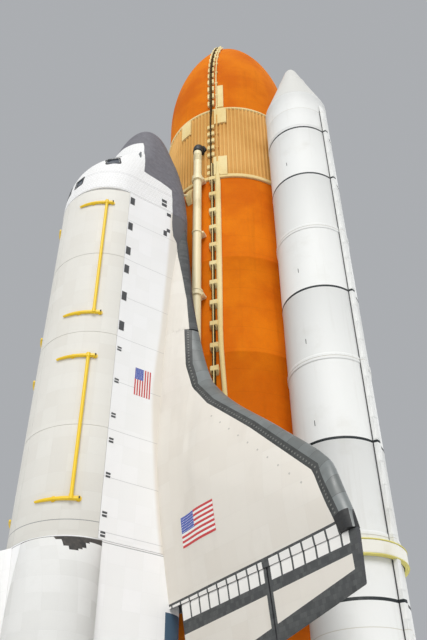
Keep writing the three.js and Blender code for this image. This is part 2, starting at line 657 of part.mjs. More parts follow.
// One payload bay door: a curved panel from the sill to the crown's middle.
function bayDoor(side) {
  const steps = 9;
  const crown = (radius, turn) => [radius * Math.cos(turn), BAY_AXIS + radius * Math.sin(turn)];
  const inner = DOOR_RADIUS - DOOR_THICKNESS;
  const turnAt = (radius, k) => lerp(
    Math.asin((SILL + SEAM - BAY_AXIS) / radius), Math.acos(SEAM / 2 / radius), k / steps);
  const loop = [];
  for (let k = 0; k <= steps; k++) loop.push(crown(DOOR_RADIUS, turnAt(DOOR_RADIUS, k)));
  for (let k = steps; k >= 0; k--) loop.push(crown(inner, turnAt(inner, k)));
  return loft([BAY_START + SEAM, BAY_END - SEAM].map((xo) => loop.map(([y, z]) => inOrbiter(xo, side * y, z))));
}

// The yellow handling frames that are fastened to each door: a long beam with a curved arm at each end.
// Columns: first station, last station
const HANDLING_FRAMES = [[622, 908], [995, 1255]];
function handlingFrame(side, [from, to]) {
  const [beamTurn, armTop, armFoot] = [rad(35), rad(66), rad(28)];
  const arc = (low, high, stationA, stationB, inner, outer, steps) => {
    const loop = [];
    for (let k = 0; k <= steps; k++) loop.push([inner, lerp(low, high, k / steps)]);
    for (let k = steps; k >= 0; k--) loop.push([outer, lerp(low, high, k / steps)]);
    return loft([stationA, stationB].map((xo) => loop.map(([radius, turn]) => inOrbiter(
      xo, side * radius * Math.cos(turn), BAY_AXIS + radius * Math.sin(turn)))));
  };
  const low = DOOR_RADIUS + 0.3;
  const beam = arc(beamTurn - 0.03, beamTurn + 0.03, from, to, low + 1, low + 6, 1);
  const arms = [[from, from + 6], [to - 6, to]].map(([a, b]) => arc(armFoot, armTop, a, b, low, low + 6, 6));
  return beam.add(arms[0]).add(arms[1]);
}

// Spheres that the engines' heat shield domes turn in.
const ball = (engine, radius) => toSolid(new THREE.SphereGeometry(radius, 18, 12)
  .translate(...inOrbiter(engine.xo, engine.yo, engine.zo)));

// All that lies behind the sloping bulkhead, above the tail's shelf.
function behindHeatShield() {
  const station = (zo) => HEAT_SHIELD.xo + (HEAT_SHIELD.zo - zo) * HEAT_SHIELD.slope;
  return loft([-140, 140].map((yo) => [
    [station(240), 240], [station(560), 560], [1600, 560], [1600, 240]].map(([xo, zo]) => inOrbiter(xo, yo, zo))));
}

function aftFuselage() {
  const body = hull(BAY_END, HULL_END).subtract(behindHeatShield());
  // The body's tail reaches back under the engines to carry the flap.
  const tail = loft([HEAT_SHIELD.xo - 20, FLAP_HINGE.xo - FLAP_NOSE + 4].map((xo) => [
    [-104, 274], [104, 274], [104, 300], [-104, 300]].map(([y, z]) => inOrbiter(xo, y, z))));
  const cove = toSolid(new THREE.CylinderGeometry(FLAP_NOSE + 0.6, FLAP_NOSE + 0.6, 300, 20).rotateZ(Math.PI / 2)
    .translate(...inOrbiter(FLAP_HINGE.xo, 0, FLAP_HINGE.zo)));
  const sockets = joined(ENGINES.map((engine) => ball(engine, ENGINE_DOME + 2.4)));
  return body.add(tail).subtract(cove).subtract(sockets);
}

// A pod swells out of the body's round shoulder. Columns: station, how far it stands out at its middle
const POD = [
  [BAY_END + 2, 3], [1313, 8], [1322, 15], [1340, 24], [1365, 32], [1400, 38], [1440, 41], [1480, 41], [1505, 38],
  [1515, 34],
];
const POD_TURN = { middle: 40, half: 37 }; // degrees up round the bay's axis from straight outboard
const POD_EDGE = 1.5; // how far its edges stand out
function omsPod(side) {
  const loops = POD.map(([xo, lift]) => {
    const skin = Array.from({ length: 17 }, (_, k) => {
      const share = k / 8 - 1;
      const turn = rad(POD_TURN.middle + POD_TURN.half * share);
      const radius = DOOR_RADIUS + POD_EDGE + lift * (1 - Math.abs(share) ** 2.2) ** 0.9;
      return [radius * Math.cos(turn), radius * Math.sin(turn)];
    });
    return [...skin, [30, 25]].map(([out, up]) => inOrbiter(xo, side * out, BAY_AXIS + up));
  });
  const thrusters = loft([1490, 1562].map((xo, i) => Array.from({ length: 12 }, (_, k) => {
    const turn = 2 * Math.PI * (k + 0.5) / 12;
    const [halfWide, halfHigh] = i ? [15, 19] : [22, 26];
    return inOrbiter(xo, side * ((i ? 108 : 98) + halfWide * Math.cos(turn)), 446 + halfHigh * Math.sin(turn));
  })));
  // Between the pods the centre engine's bell swings from side to side. Columns: station, half width
  const swing = loft([[1455, 37], [1535, 48]].map(([xo, half]) => [
    [-half, 380], [half, 380], [half, 540], [-half, 540]].map(([yo, zo]) => inOrbiter(xo, yo, zo))));
  return loft(loops).add(thrusters).subtract(wholeHull).subtract(swing);
}

// The small orbital engine at the back of each pod.
const SMALL_ENGINE = { xo: 1518, yo: 82, zo: 478, pitch: 15.8, yaw: 6.5, length: 74 };
function smallEngine(side) {
  const bell = turned([
    [0, 0], [9, 0], [8, 10], [12, 26], [18, 46], [21.5, 74], [20, 74],
    [10.5, 26], [5, 14], [0, 14],
  ], 14);
  return aimed(bell, SMALL_ENGINE, side);
}

// Turns a bell that is drawn along minus z so that it points aft, up by pitch and out by yaw.
function aimed(bell, at, side = 1) {
  const mesh = toGeometry(bell);
  mesh.scale(1 / INCH, 1 / INCH, 1 / INCH);
  mesh.rotateX(-rad(at.pitch));
  mesh.rotateY(-rad(side * at.yaw));
  mesh.translate(...inOrbiter(at.xo, side * at.yo, at.zo));
  return toSolid(mesh);
}

// A main engine: a hollow bell with bands, and the ball-shaped shield round its gimbal.
function mainEngine(engine) {
  const throat = 46;
  const outer = [];
  const inner = [];
  for (let k = 0; k <= 5; k++) {
    const t = k / 5;
    const radius = 13 + (ENGINE_EXIT - 13) * Math.pow(t, 0.62);
    const station = throat + (ENGINE_LENGTH - throat) * t;
    outer.push([radius, station]);
    inner.unshift([radius - 2, station]);
  }
  const bell = turned([
    [0, -8], [ENGINE_DOME * 0.97, -8], [ENGINE_DOME, 0], [ENGINE_DOME * 0.93, 12],
    [ENGINE_DOME * 0.7, 24], [15, 30], ...outer, ...inner.slice(0, -1), [0, throat + 6],
  ], 20);
  return aimed(bell, engine);
}

// The gimbal bearing: the stub that carries the engine's two axes, deep inside the shield.
const gimbalBlock = (engine) => aimed(turned(
  [[0, -34.5], [7.5, -34.5], [9, -30], [9, -11.5], [0, -11.5]], 12), engine);

// Wing outlines in plan. Columns: distance out, station
const LEADING_EDGE = [
  [92, 560], [WING_ROOT, 650], [116, 710], [126, 786], [157, 929], [180, 1005], [WING_CRANK, 1046],
  [352, 1203], [424, 1274], [437, 1292], [449, 1328], [461, 1365], [WING_TIP, 1376],
];
const trailingEdge = (yo) => 1511 - (yo - WING_ROOT) * 0.1773;
// Columns: distance out, greatest thickness, thickness at the hinge, length of the nose's swell
const THICKNESS = [
  [WING_ROOT, 62, 28, 108], [WING_CRANK, 52, 22.5, 96], [312, 32, 16, 74], [440, 17, 9.6, 40], [468, 12, 8.2, 24],
];
const lowerSurface = (yo) => 267.5 + (yo - WING_ROOT) * 0.061;

// The wing's [top, bottom] water lines at a place in plan.
function wingSkin(xo, yo) {
  const front = along(LEADING_EDGE, yo);
  const back = trailingEdge(yo);
  const [most, atHinge, swell] = [1, 2, 3].map((k) => along(THICKNESS, yo, k));
  const slope = Math.sin(rad(yo < 120 ? 10 : yo < WING_CRANK ? 16 : 45));
  const q = Math.min(1, (xo - front) * slope / swell);
  const rise = Math.sqrt(Math.max(0, 1 - (1 - q) ** 2));
  const crest = Math.max(1150, lerp(front, back, 0.38));
  const thick = xo < crest ? most : xo < ELEVON_HINGE
    ? lerp(most, atHinge, (xo - crest) / (ELEVON_HINGE - crest))
    : lerp(atHinge, 2.4, (xo - ELEVON_HINGE) / (back - ELEVON_HINGE));
  const bottom = lowerSurface(yo) + (xo > ELEVON_HINGE ? (xo - ELEVON_HINGE) * 0.02 : 0);
  const noseLine = bottom + 0.3 * most * Math.min(1, swell / 60) * 0.8;
  return [lerp(noseLine, bottom + thick, rise), lerp(noseLine, bottom, Math.min(1, rise * 1.25))];
}

function wingLoop(yo, from, to, shares) {
  const stations = shares.map((share) => lerp(from, to, share));
  const top = stations.map((xo) => [xo, wingSkin(xo, yo)[0]]);
  const bottom = stations.map((xo) => [xo, wingSkin(xo, yo)[1]]).reverse();
  top[0][1] += 0.6;
  bottom[bottom.length - 1][1] -= 0.6;
  return [...top, ...bottom];
}

const hingeHeight = (yo) => lowerSurface(yo) + along(THICKNESS, yo, 2) / 2;
const hingeRadius = (yo) => along(THICKNESS, yo, 2) / 2 - 0.5;
const CHORD_SHARES = [0, 0.012, 0.035, 0.08, 0.16, 0.3, 0.5, 0.75, 1];
const WING_SECTIONS = [92, WING_ROOT, 116, 126, 157, 180, WING_CRANK, 352, 424, 437, 449, 461, WING_TIP];

// The wing to its elevon cove, before the leading edge is split off.
function wingBlank() {
  const loops = WING_SECTIONS.map((yo) => {
    const last = ELEVON_HINGE - 0.62 * hingeRadius(Math.max(yo, WING_ROOT));
    return wingLoop(yo, along(LEADING_EDGE, yo), last, CHORD_SHARES).map(([xo, zo]) => inOrbiter(xo, yo, zo));
  });
  const cove = hingeCone(90, 480, 0.9);
  return loft(loops).subtract(cove);
}

// A tapered round along the elevon hinge, between two distances out.
function hingeCone(fromOut, toOut, grow) {
  const ring = (yo) => Array.from({ length: 16 }, (_, k) => {
    const turn = 2 * Math.PI * k / 16;
    const radius = hingeRadius(yo) + grow;
    return inOrbiter(ELEVON_HINGE + radius * Math.cos(turn), yo, hingeHeight(yo) + radius * Math.sin(turn));
  });
  return loft([fromOut, WING_ROOT, 312, toOut].map(ring));
}

// The strip of the wing in front of this line is the carbon leading edge. Columns: distance out, station
const EDGE_LINE = [[118, 905], [126, 994], [153, 1055], [208, 1100], [293, 1182], [412, 1297], [441, 1366], [447, 1420]];
function edgeCutter(grow) {
  const [front, back, past] = [EDGE_LINE[0][1] - grow, EDGE_LINE[EDGE_LINE.length - 1][1], WING_TIP + 20];
  const line = EDGE_LINE.map(([yo, xo], i) => [yo - grow, i ? xo + grow : front]);
  const outline = [[past, front], [past, back + grow], ...line.reverse()];
  return loft([240, 360].map((zo) => outline.map(([yo, xo]) => inOrbiter(xo, yo, zo))));
}

const mirrored = (solid, side) => side > 0 ? solid : solid.mirror([1, 0, 0]);
const blank = wingBlank();
const wing = (side) => mirrored(blank.subtract(edgeCutter(GAP)), side).subtract(wholeHull);
const wingEdge = (side) => mirrored(blank.intersect(edgeCutter(0)), side).subtract(wholeHull);

function elevon([, from, to]) {
  const loops = [from, to].map((yo) => {
    const [radius, zo, back] = [hingeRadius(yo), hingeHeight(yo), trailingEdge(yo)];
    const nose = [-90, -60, -30, 0, 30, 60, 90].map((degrees) => [
      ELEVON_HINGE - radius * Math.cos(rad(degrees)), zo + radius * Math.sin(rad(degrees))]);
    const end = lowerSurface(yo) + 0.02 * (back - ELEVON_HINGE) + 1.6;
    const tail = [[back, end + 1.2], [back, end - 1.2]];
    return [...nose, ...tail].map(([xo, z]) => inOrbiter(xo, yo, z));
  });
  return loft(loops);
}

function bodyFlap() {
  const loop = [-90, -60, -30, 0, 30, 60, 90].map((degrees) => [
    FLAP_HINGE.xo - FLAP_NOSE * Math.cos(rad(degrees)), FLAP_HINGE.zo + FLAP_NOSE * Math.sin(rad(degrees))]);
  loop.push([FLAP_HINGE.xo + FLAP_CHORD, FLAP_HINGE.zo - 3], [FLAP_HINGE.xo + FLAP_CHORD, FLAP_HINGE.zo - 6]);
  return loft([-FLAP_HALF_SPAN, FLAP_HALF_SPAN].map((yo) => loop.map(([xo, zo]) => inOrbiter(xo, yo, zo))));
}

// The fin's front, hinge and back stations at a water line.
function finLine(zo) {
  const t = (zo - 500) / (FIN.tip - 500);
  const swept = lerp(FIN.rootFront, FIN.tipFront, t);
  const front = Math.max(swept, lerp(BAY_END + 2, 1340, (zo - 500) / 63));
  const back = lerp(FIN.rootBack, FIN.tipBack, t);
  return { front, back, hinge: lerp(front, back, HINGE_SHARE), half: lerp(11.5, 5, t) };
}
const FIN_GROW = 1.5;

function finLoop(zo) {
  const { front, back, hinge, half } = finLine(zo);
  const side = [[front, 0.5], [front + 8, half * 0.35], [lerp(front, hinge, 0.4), half * 0.85], [hinge, half], [back, 1]];
  return [...side, ...side.slice().reverse().map(([x, y]) => [x, -y])].map(([x, y]) => inOrbiter(x, y, zo));
}

// The rudder's hinge line, as a frame: a point, the way along it, aft across it, and out of it.
function hingeFrame() {
  const low = finLine(RUDDER.bottom);
  const high = finLine(RUDDER.top);
  const a = new THREE.Vector3(...inOrbiter(low.hinge, 0, RUDDER.bottom));
  const b = new THREE.Vector3(...inOrbiter(high.hinge, 0, RUDDER.top));
  const up = b.clone().sub(a).normalize();
  const out = new THREE.Vector3(1, 0, 0);
  const aft = new THREE.Vector3().crossVectors(up, out).normalize();
  if (aft.z > 0) aft.negate();
  return { a, up, out, aft, length: a.distanceTo(b), low, high };
}
const RUDDER_FRAME = hingeFrame();

// A loop of [aft, out] points, in the plane across the hinge line, at a share of its length.
function acrossHinge(points, share) {
  const { a, up, out, aft, length } = RUDDER_FRAME;
  return points.map(([x, y]) => a.clone().addScaledVector(up, share * length)
    .addScaledVector(aft, x).addScaledVector(out, y).toArray());
}

const rudderHalf = (share) => lerp(RUDDER_FRAME.low.half, RUDDER_FRAME.high.half, share);
// The chord behind the hinge, measured square to the hinge line.
const rudderChord = (share) => lerp(86, 49, share);

function fin() {
  const body = loft([482, 500, 563, FIN.tip - 14, FIN.tip].map((zo) => zo < FIN.tip ? finLoop(zo) : finTop()));
  const room = [-0.004, 1.004].map((share) => {
    const reach = rudderHalf(share) + FIN_GROW;
    return acrossHinge([[-reach * 0.97, -20], [120, -20], [120, 20], [-reach * 0.97, 20]], share);
  });
  // The fin's foot is cut away above the centre engine's bell, which swings up under it.
  const overBell = loft([-20, 20].map((yo) => [
    [1474, 470], [1474, 493], [1562, 568], [1680, 568], [1680, 470]].map(([xo, zo]) => inOrbiter(xo, yo, zo))));
  const overDoors = cut(1200, BAY_END + 1, -20, 20, 450, 520);
  return body.subtract(loft(room)).subtract(wholeHull).subtract(overBell).subtract(overDoors);
}

function finTop() {
  const { front, back, hinge, half } = finLine(FIN.tip);
  const side = [[front + 8, 0.4], [front + 16, half * 0.3], [lerp(front, hinge, 0.45), half * 0.7],
    [hinge, half * 0.8], [back, 0.8]];
  return [...side, ...side.slice().reverse().map(([x, y]) => [x, -y])].map(([x, y]) => inOrbiter(x, y, FIN.tip));
}

// The shaft that both panels turn on.
function rudderShaft() {
  const ring = (share) => acrossHinge(Array.from({ length: 12 }, (_, k) => {
    const turn = 2 * Math.PI * k / 12;
    const radius = rudderHalf(share) * 0.42;
    return [radius * Math.cos(turn), radius * Math.sin(turn)];
  }), share);
  return loft([ring(0.003), ring(0.997)]);
}

const LIP = [105, 116, 127]; // degrees round the hinge from aft, where a panel's curved lip runs

// One of the two panels that steer together and spread apart to brake.
function rudderPanel(side) {
  const loop = (share) => {
    const half = rudderHalf(share);
    const chord = rudderChord(share);
    const hub = half * 0.42 + 0.4;
    const lip = half - 1;
    const points = [[chord, 0.15], [chord, 1], [0, half]];
    for (const degrees of LIP) points.push([half * Math.cos(rad(degrees)), half * Math.sin(rad(degrees))]);
    for (const degrees of LIP.slice().reverse()) points.push([lip * Math.cos(rad(degrees)), lip * Math.sin(rad(degrees))]);
    points.push([1, lip], [hub, lip * 0.6], [hub, 0.15]);
    return acrossHinge(points.map(([x, y]) => [x, side * y]), share);
  };
  return loft([loop(0.003), loop(0.997)]);
}

place(orbiter, 'nose_cap', noseCap(), LOOKS.carbonEdge);
place(orbiter, 'forward_fuselage', forwardFuselage(), LOOKS.whiteTile);
place(orbiter, 'cabin_glass', glassBand(414, 556, 404, 520, 92), LOOKS.glass);
place(orbiter, 'crew_hatch', hatch(), LOOKS.whiteTile);
place(orbiter, 'mid_fuselage', midFuselage(), LOOKS.whiteTile);
place(orbiter, 'aft_fuselage', aftFuselage(), LOOKS.whiteTile);
for (const [word, side] of SIDES) {
  place(orbiter, `bay_door_${word}`, bayDoor(side), LOOKS.whiteBlanket);
  HANDLING_FRAMES.forEach((span, i) => place(
    orbiter, `handling_frame_${word}_${i + 1}`, handlingFrame(side, span), LOOKS.yellowSteel));
  place(orbiter, `pod_${word}`, omsPod(side), LOOKS.whiteBlanket);
  place(orbiter, `pod_engine_${word}`, smallEngine(side), LOOKS.engineMetal);
  place(orbiter, `wing_${word}`, wing(side), LOOKS.whiteBlanket);
  place(orbiter, `wing_edge_${word}`, wingEdge(side), LOOKS.carbonEdge);
  for (const span of ELEVONS) {
    place(orbiter, `elevon_${word}_${span[0]}`, mirrored(elevon(span), side), LOOKS.whiteTile);
  }
  place(orbiter, `rudder_panel_${word}`, rudderPanel(side), LOOKS.whiteTile);
}
place(orbiter, 'body_flap', bodyFlap(), LOOKS.darkTile);
place(orbiter, 'fin', fin(), LOOKS.whiteBlanket);
place(orbiter, 'rudder_shaft', rudderShaft(), LOOKS.bareMetal);
for (const engine of ENGINES) {
  place(orbiter, `engine_${engine.name}`, mainEngine(engine), LOOKS.engineMetal);
  place(orbiter, `engine_${engine.name}_gimbal`, gimbalBlock(engine), LOOKS.bareMetal);
}

stack.add(tank, orbiter);

// The stack is centred in plan over the floor, by its own box.
stack.updateMatrixWorld(true);
const box = new THREE.Box3().setFromObject(stack, true);
stack.position.set(-(box.min.x + box.max.x) / 2, -(box.min.y + box.max.y) / 2, -box.min.z);

export default stack;
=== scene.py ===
# %% [markdown]
# # Dressing a space shuttle on its launch stack
# The frame holds the plain solids of a half-size space shuttle: the orbiter, its tank and its two boosters.
# This lesson gives them the surfaces that the eye expects: sprayed foam, painted steel, quilted blankets,
# tiles, grey carbon and heat-tinted metal. Each new piece is a surface worked out with numpy, and it stands
# where the solid that it replaces stands, so that doors, flaps and engines still swing on their own hinges.

# %% Load the frame
import math
from collections import namedtuple

import bmesh
import bpy
import numpy as np
from numpy import array, concatenate, cos, linspace, pi, radians, sin, stack
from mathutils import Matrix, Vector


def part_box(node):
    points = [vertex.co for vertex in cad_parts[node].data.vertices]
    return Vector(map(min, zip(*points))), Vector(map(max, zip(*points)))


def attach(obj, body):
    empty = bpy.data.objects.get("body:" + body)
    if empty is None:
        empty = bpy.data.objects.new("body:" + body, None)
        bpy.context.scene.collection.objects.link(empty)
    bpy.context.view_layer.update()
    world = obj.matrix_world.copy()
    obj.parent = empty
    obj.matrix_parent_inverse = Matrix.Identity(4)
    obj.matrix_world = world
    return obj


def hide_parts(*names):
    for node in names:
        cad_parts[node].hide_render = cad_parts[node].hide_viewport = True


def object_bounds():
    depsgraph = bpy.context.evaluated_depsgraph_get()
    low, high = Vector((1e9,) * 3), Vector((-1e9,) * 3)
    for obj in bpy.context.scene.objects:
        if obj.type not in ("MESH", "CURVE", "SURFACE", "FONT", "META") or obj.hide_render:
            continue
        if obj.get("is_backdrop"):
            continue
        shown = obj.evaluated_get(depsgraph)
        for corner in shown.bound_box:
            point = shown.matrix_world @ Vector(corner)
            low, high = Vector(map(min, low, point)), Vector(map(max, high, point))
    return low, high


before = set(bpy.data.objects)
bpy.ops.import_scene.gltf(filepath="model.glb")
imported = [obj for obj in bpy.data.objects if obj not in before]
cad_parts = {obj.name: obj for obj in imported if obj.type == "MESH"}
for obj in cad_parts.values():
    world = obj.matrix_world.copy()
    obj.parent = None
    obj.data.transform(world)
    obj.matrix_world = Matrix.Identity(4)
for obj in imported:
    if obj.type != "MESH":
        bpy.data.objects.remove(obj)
cad_low, cad_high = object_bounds()
print("frame box", [round(x, 3) for x in (*cad_low, *cad_high)])

# %% [markdown]
# ## Stations
# Each vehicle of the stack has its own stations in inches along its length, counted from the nose down.
# We keep those real numbers, because they say what a size means, and turn them into metres of the frame in
# three short functions. The tank's axis is read from the frame.

# %% From stations to metres
INCH = 0.0127  # an inch of the real vehicle, at half size
FLOOR_STATION = 2473.6  # tank station of the floor
TANK_TO_ORBITER = 741.0
TANK_TO_BOOSTER = 543.0
TANK_WATER_LINE = 63.5  # water line of the orbiter that the tank's axis has
BOOSTER_OUT = 250.5
motor_low, motor_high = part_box("booster_right_motor")
AXIS_Y = (motor_low.y + motor_high.y) / 2
SIDES = (("right", 1), ("left", -1))


def in_tank(x, y, station):
    """Points of the frame from inches in the tank: x to starboard, y away from the orbiter."""
    parts = (np.multiply(x, INCH), AXIS_Y + np.multiply(y, INCH), (FLOOR_STATION
                                                                   - np.asarray(station)) * INCH)
    return stack(np.broadcast_arrays(*parts), axis=-1).astype(float)


def in_booster(side, x, y, station):
    """Points from inches in a booster, whose own axis lies beside the tank's."""
    return in_tank(np.asarray(x) + side * BOOSTER_OUT, y, np.asarray(station) + TANK_TO_BOOSTER)


def in_orbiter(xo, yo, zo):
    """Points from the orbiter's station, distance out to starboard and water line."""
    return in_tank(yo, TANK_WATER_LINE - np.asarray(zo), np.asarray(xo) + TANK_TO_ORBITER)


def rows_at(rows, x, column=1):
    """A table's column at x, straight between its rows."""
    table = array(rows, float)
    return np.interp(x, table[:, 0], table[:, column])


def eased(rows, x, column=1):
    """A table's column at x on a smooth curve through its rows that never overshoots them: each row's slope
    is the harmonic mean of the slopes on its two sides, and a cubic joins the rows."""
    table = array(rows, float)
    a, b = table[:, 0], table[:, column]
    step, rise = np.diff(a), np.diff(b)
    slope = rise / step
    both = slope[:-1] * slope[1:]
    inner = np.where(both > 0, 2 * both / np.where(both > 0, slope[:-1] + slope[1:], 1), 0)
    tangent = concatenate([slope[:1], inner, slope[-1:]])
    k = np.clip(np.searchsorted(a, x, side="right") - 1, 0, len(step) - 1)
    t = np.clip((np.asarray(x, float) - a[k]) / step[k], 0, 1)
    start = b[k] + t * t * (3 - 2 * t) * rise[k]
    return start + step[k] * (t * (1 - t) ** 2 * tangent[k] - t * t * (1 - t) * tangent[k + 1])


print("tank axis at y", round(AXIS_Y, 4))

# %% [markdown]
# ## The camera
# The photographer stood close to the stack's foot on the starboard side and looked up. The place and the
# angles were worked out from points that show in the photograph, such as the boosters' seams and the wing's
# corners. The camera stands at floor level, and its lens follows from the width of the picture.

# %% Camera, light and floor
CAMERA_PLACE = (12.491, -6.996, 0.142)
# Degrees round from +Y, up, and round its own axis
CAMERA_TURN, CAMERA_RISE, CAMERA_ROLL = -51.68, 38.96, 0.57
PICTURE_HIGH, FOCAL_PIXELS = 640, 738.6
SENSOR, FAR = 36.0, 500

camera_data = bpy.data.cameras.new("camera")
camera_data.sensor_width = SENSOR
camera_data.lens = FOCAL_PIXELS * SENSOR / PICTURE_HIGH
camera_data.clip_end = FAR
camera = bpy.data.objects.new("camera", camera_data)
camera.location = CAMERA_PLACE
camera.rotation_mode = "XYZ"
camera.rotation_euler = (radians(90 + CAMERA_RISE), 0, radians(-CAMERA_TURN))
camera.rotation_euler.rotate_axis("Z", radians(-CAMERA_ROLL))
bpy.context.scene.collection.objects.link(camera)
bpy.context.scene.camera = camera


def sun(name, turn, rise, strength, spread, color=(1, 1, 1)):
    """A soft distant light that comes from turn degrees round from -Y and rise degrees up."""
    data = bpy.data.lights.new(name, "SUN")
    data.energy, data.angle, data.color = strength, radians(spread), color
    lamp = bpy.data.objects.new(name, data)
    lamp.rotation_euler = (radians(90 - rise), 0, radians(turn))
    bpy.context.scene.collection.objects.link(lamp)


sun("key_light", 48, 44, 2.25, 30, (1.0, 0.985, 0.96))
sun("fill_light", -50, 15, 0.5, 60, (0.94, 0.97, 1.0))
sun("rim_light", 175, 35, 0.9, 60)
world = bpy.data.worlds.new("studio")
world.use_nodes = True
world.node_tree.nodes["Background"].inputs["Color"].default_value = (0.62, 0.64, 0.67, 1)
world.node_tree.nodes["Background"].inputs["Strength"].default_value = 0.66
bpy.context.scene.world = world
bpy.context.scene.view_settings.view_transform = "Standard"

# %% [markdown]
# ## Surfaces from numpy
# A shape here is an array of points, an array of quads, each quad's place in the UV map in metres, and a
# number that says which of the piece's materials it takes. Nearly every shape is a grid: rows and columns
# of points computed at once, with a quad between neighbours. Doubled points at seams and poles are merged
# when the mesh is made, which closes them.

# %% Shapes and pieces
Shape = namedtuple("Shape", "points quads uv tone")


def grid(points, around=False, tone=0, across=None, down=None):
    """A quad between each four neighbours of rows by columns of points. around joins the last column to the
    first. across and down are the UV map: each row's own length so far, and the mean length down the rows."""
    rows, columns = points.shape[:2]
    wide = concatenate([points, points[:, :1]], 1) if around else points
    if across is None:
        across = np.cumsum(np.linalg.norm(np.diff(wide, axis=1, prepend=wide[:, :1]), axis=2), 1)
    if down is None:
        down = np.cumsum(np.linalg.norm(np.diff(points, axis=0, prepend=points[:1]), axis=2).mean(1))[:, None]
    across, down = (np.broadcast_to(part, wide.shape[:2]) for part in (across, down))
    i, j = np.meshgrid(np.arange(rows - 1), np.arange(wide.shape[1] - 1), indexing="ij")
    i, j = i.ravel(), j.ravel()
    corners = ((i, j), (i, j + 1), (i + 1, j + 1), (i + 1, j))
    quads = stack([a * columns + b % columns for a, b in corners], -1)
    uv = stack([stack([across[a, b], down[a, b]], -1) for a, b in corners], 1)
    tone = np.broadcast_to(tone, points.shape[:2])
    tones = tone[:-1] if around else tone[:-1, :-1]
    return Shape(points.reshape(-1, 3), quads, uv, tones.ravel())


def joined(*shapes):
    """Several shapes as one."""
    starts = np.cumsum([0] + [len(s.points) for s in shapes])
    return Shape(
        concatenate([s.points for s in shapes]),
        concatenate([s.quads + start for s, start in zip(shapes, starts)]),
        concatenate([s.uv for s in shapes]),
        concatenate([s.tone for s in shapes]),
    )


def mirrored(shape, side=-1):
    """The shape's twin on the other side of the stack, for side -1."""
    if side > 0:
        return shape
    return Shape(shape.points * (-1, 1, 1), shape.quads[:, ::-1], shape.uv[:, ::-1], shape.tone)


def lid(loop, tone=0):
    """A flat or slightly domed face inside a closed loop: a grid from the loop to its middle."""
    middle = np.broadcast_to(loop.mean(0), loop.shape)
    shares = linspace(0, 1, 3)[:, None, None]
    return grid(loop + (middle - loop) * shares, around=True, tone=tone)


def skin(loops, tone=0, end_tone=None):
    """A closed body through rows of loops, with a lid on each end."""
    if end_tone is None:
        end_tone = tone if np.ndim(tone) == 0 else 0
    return joined(grid(loops, around=True, tone=tone), lid(loops[0], end_tone), lid(loops[-1], end_tone))


def rims(outer, inner, tone=0):
    """The four strips between the edges of two grids: at their first and last rows and columns."""
    edges = [(outer[0], inner[0]), (outer[-1], inner[-1]), (outer[:, 0], inner[:, 0]),
             (outer[:, -1], inner[:, -1])]
    return [grid(stack(pair), tone=tone) for pair in edges]


def slab(outer, inner, tone=0, inner_tone=None, rim_tone=None):
    """A closed sheet with thickness: two grids of the same size, and the rims between their edges."""
    sides = rims(outer, inner, tone if rim_tone is None else rim_tone)
    return joined(grid(outer, tone=tone), grid(inner, tone=tone if inner_tone is None else inner_tone),
                  *sides)


def full_turn(count):
    """Even angles all the way round."""
    return linspace(0, 2 * pi, count, endpoint=False)


def angles(low, high, count):
    """Even angles from low to high, which are in degrees."""
    return radians(linspace(low, high, count))


def turned(place, profile, count=96, tone=0, closed=False):
    """A surface of revolution: each [radius, station] row becomes a ring about the axis that place gives."""
    profile = array(profile, float)
    if closed:
        profile = concatenate([profile, profile[:1]])
    turn = full_turn(count)
    radius, station = profile[:, :1], profile[:, 1:2]
    points = place(radius * cos(turn), radius * sin(turn), station)
    steps = np.insert(np.cumsum(np.linalg.norm(np.diff(profile, axis=0), axis=1)), 0, 0) * INCH
    widest = profile[:, 0].max() * INCH
    tones = np.broadcast_to(np.asarray(tone)[:, None], (len(profile), count)) if np.ndim(tone) else tone
    return grid(points, True, tones, linspace(0, 2 * pi * widest, count + 1), steps[:, None])


def pipe(path, radius, count=16, tone=0):
    """A round tube along a path. Its frame is carried along without twisting: each step takes the last
    side vector and squares it up against the new direction."""
    path = array(path, float)
    forward = np.gradient(path, axis=0)
    forward /= np.linalg.norm(forward, axis=1)[:, None]
    side = np.cross(forward[0], (0.31, 0.47, 0.83))
    sides = []
    for direction in forward:
        side = side - direction * side.dot(direction)
        side = side / np.linalg.norm(side)
        sides.append(side)
    sides = array(sides)
    ups = np.cross(forward, sides)
    turn = full_turn(count)
    reach = np.broadcast_to(np.asarray(radius, float), len(path))[:, None, None]
    ring = sides[:, None] * cos(turn)[None, :, None] + ups[:, None] * sin(turn)[None, :, None]
    return skin(path[:, None] + ring * reach, tone)


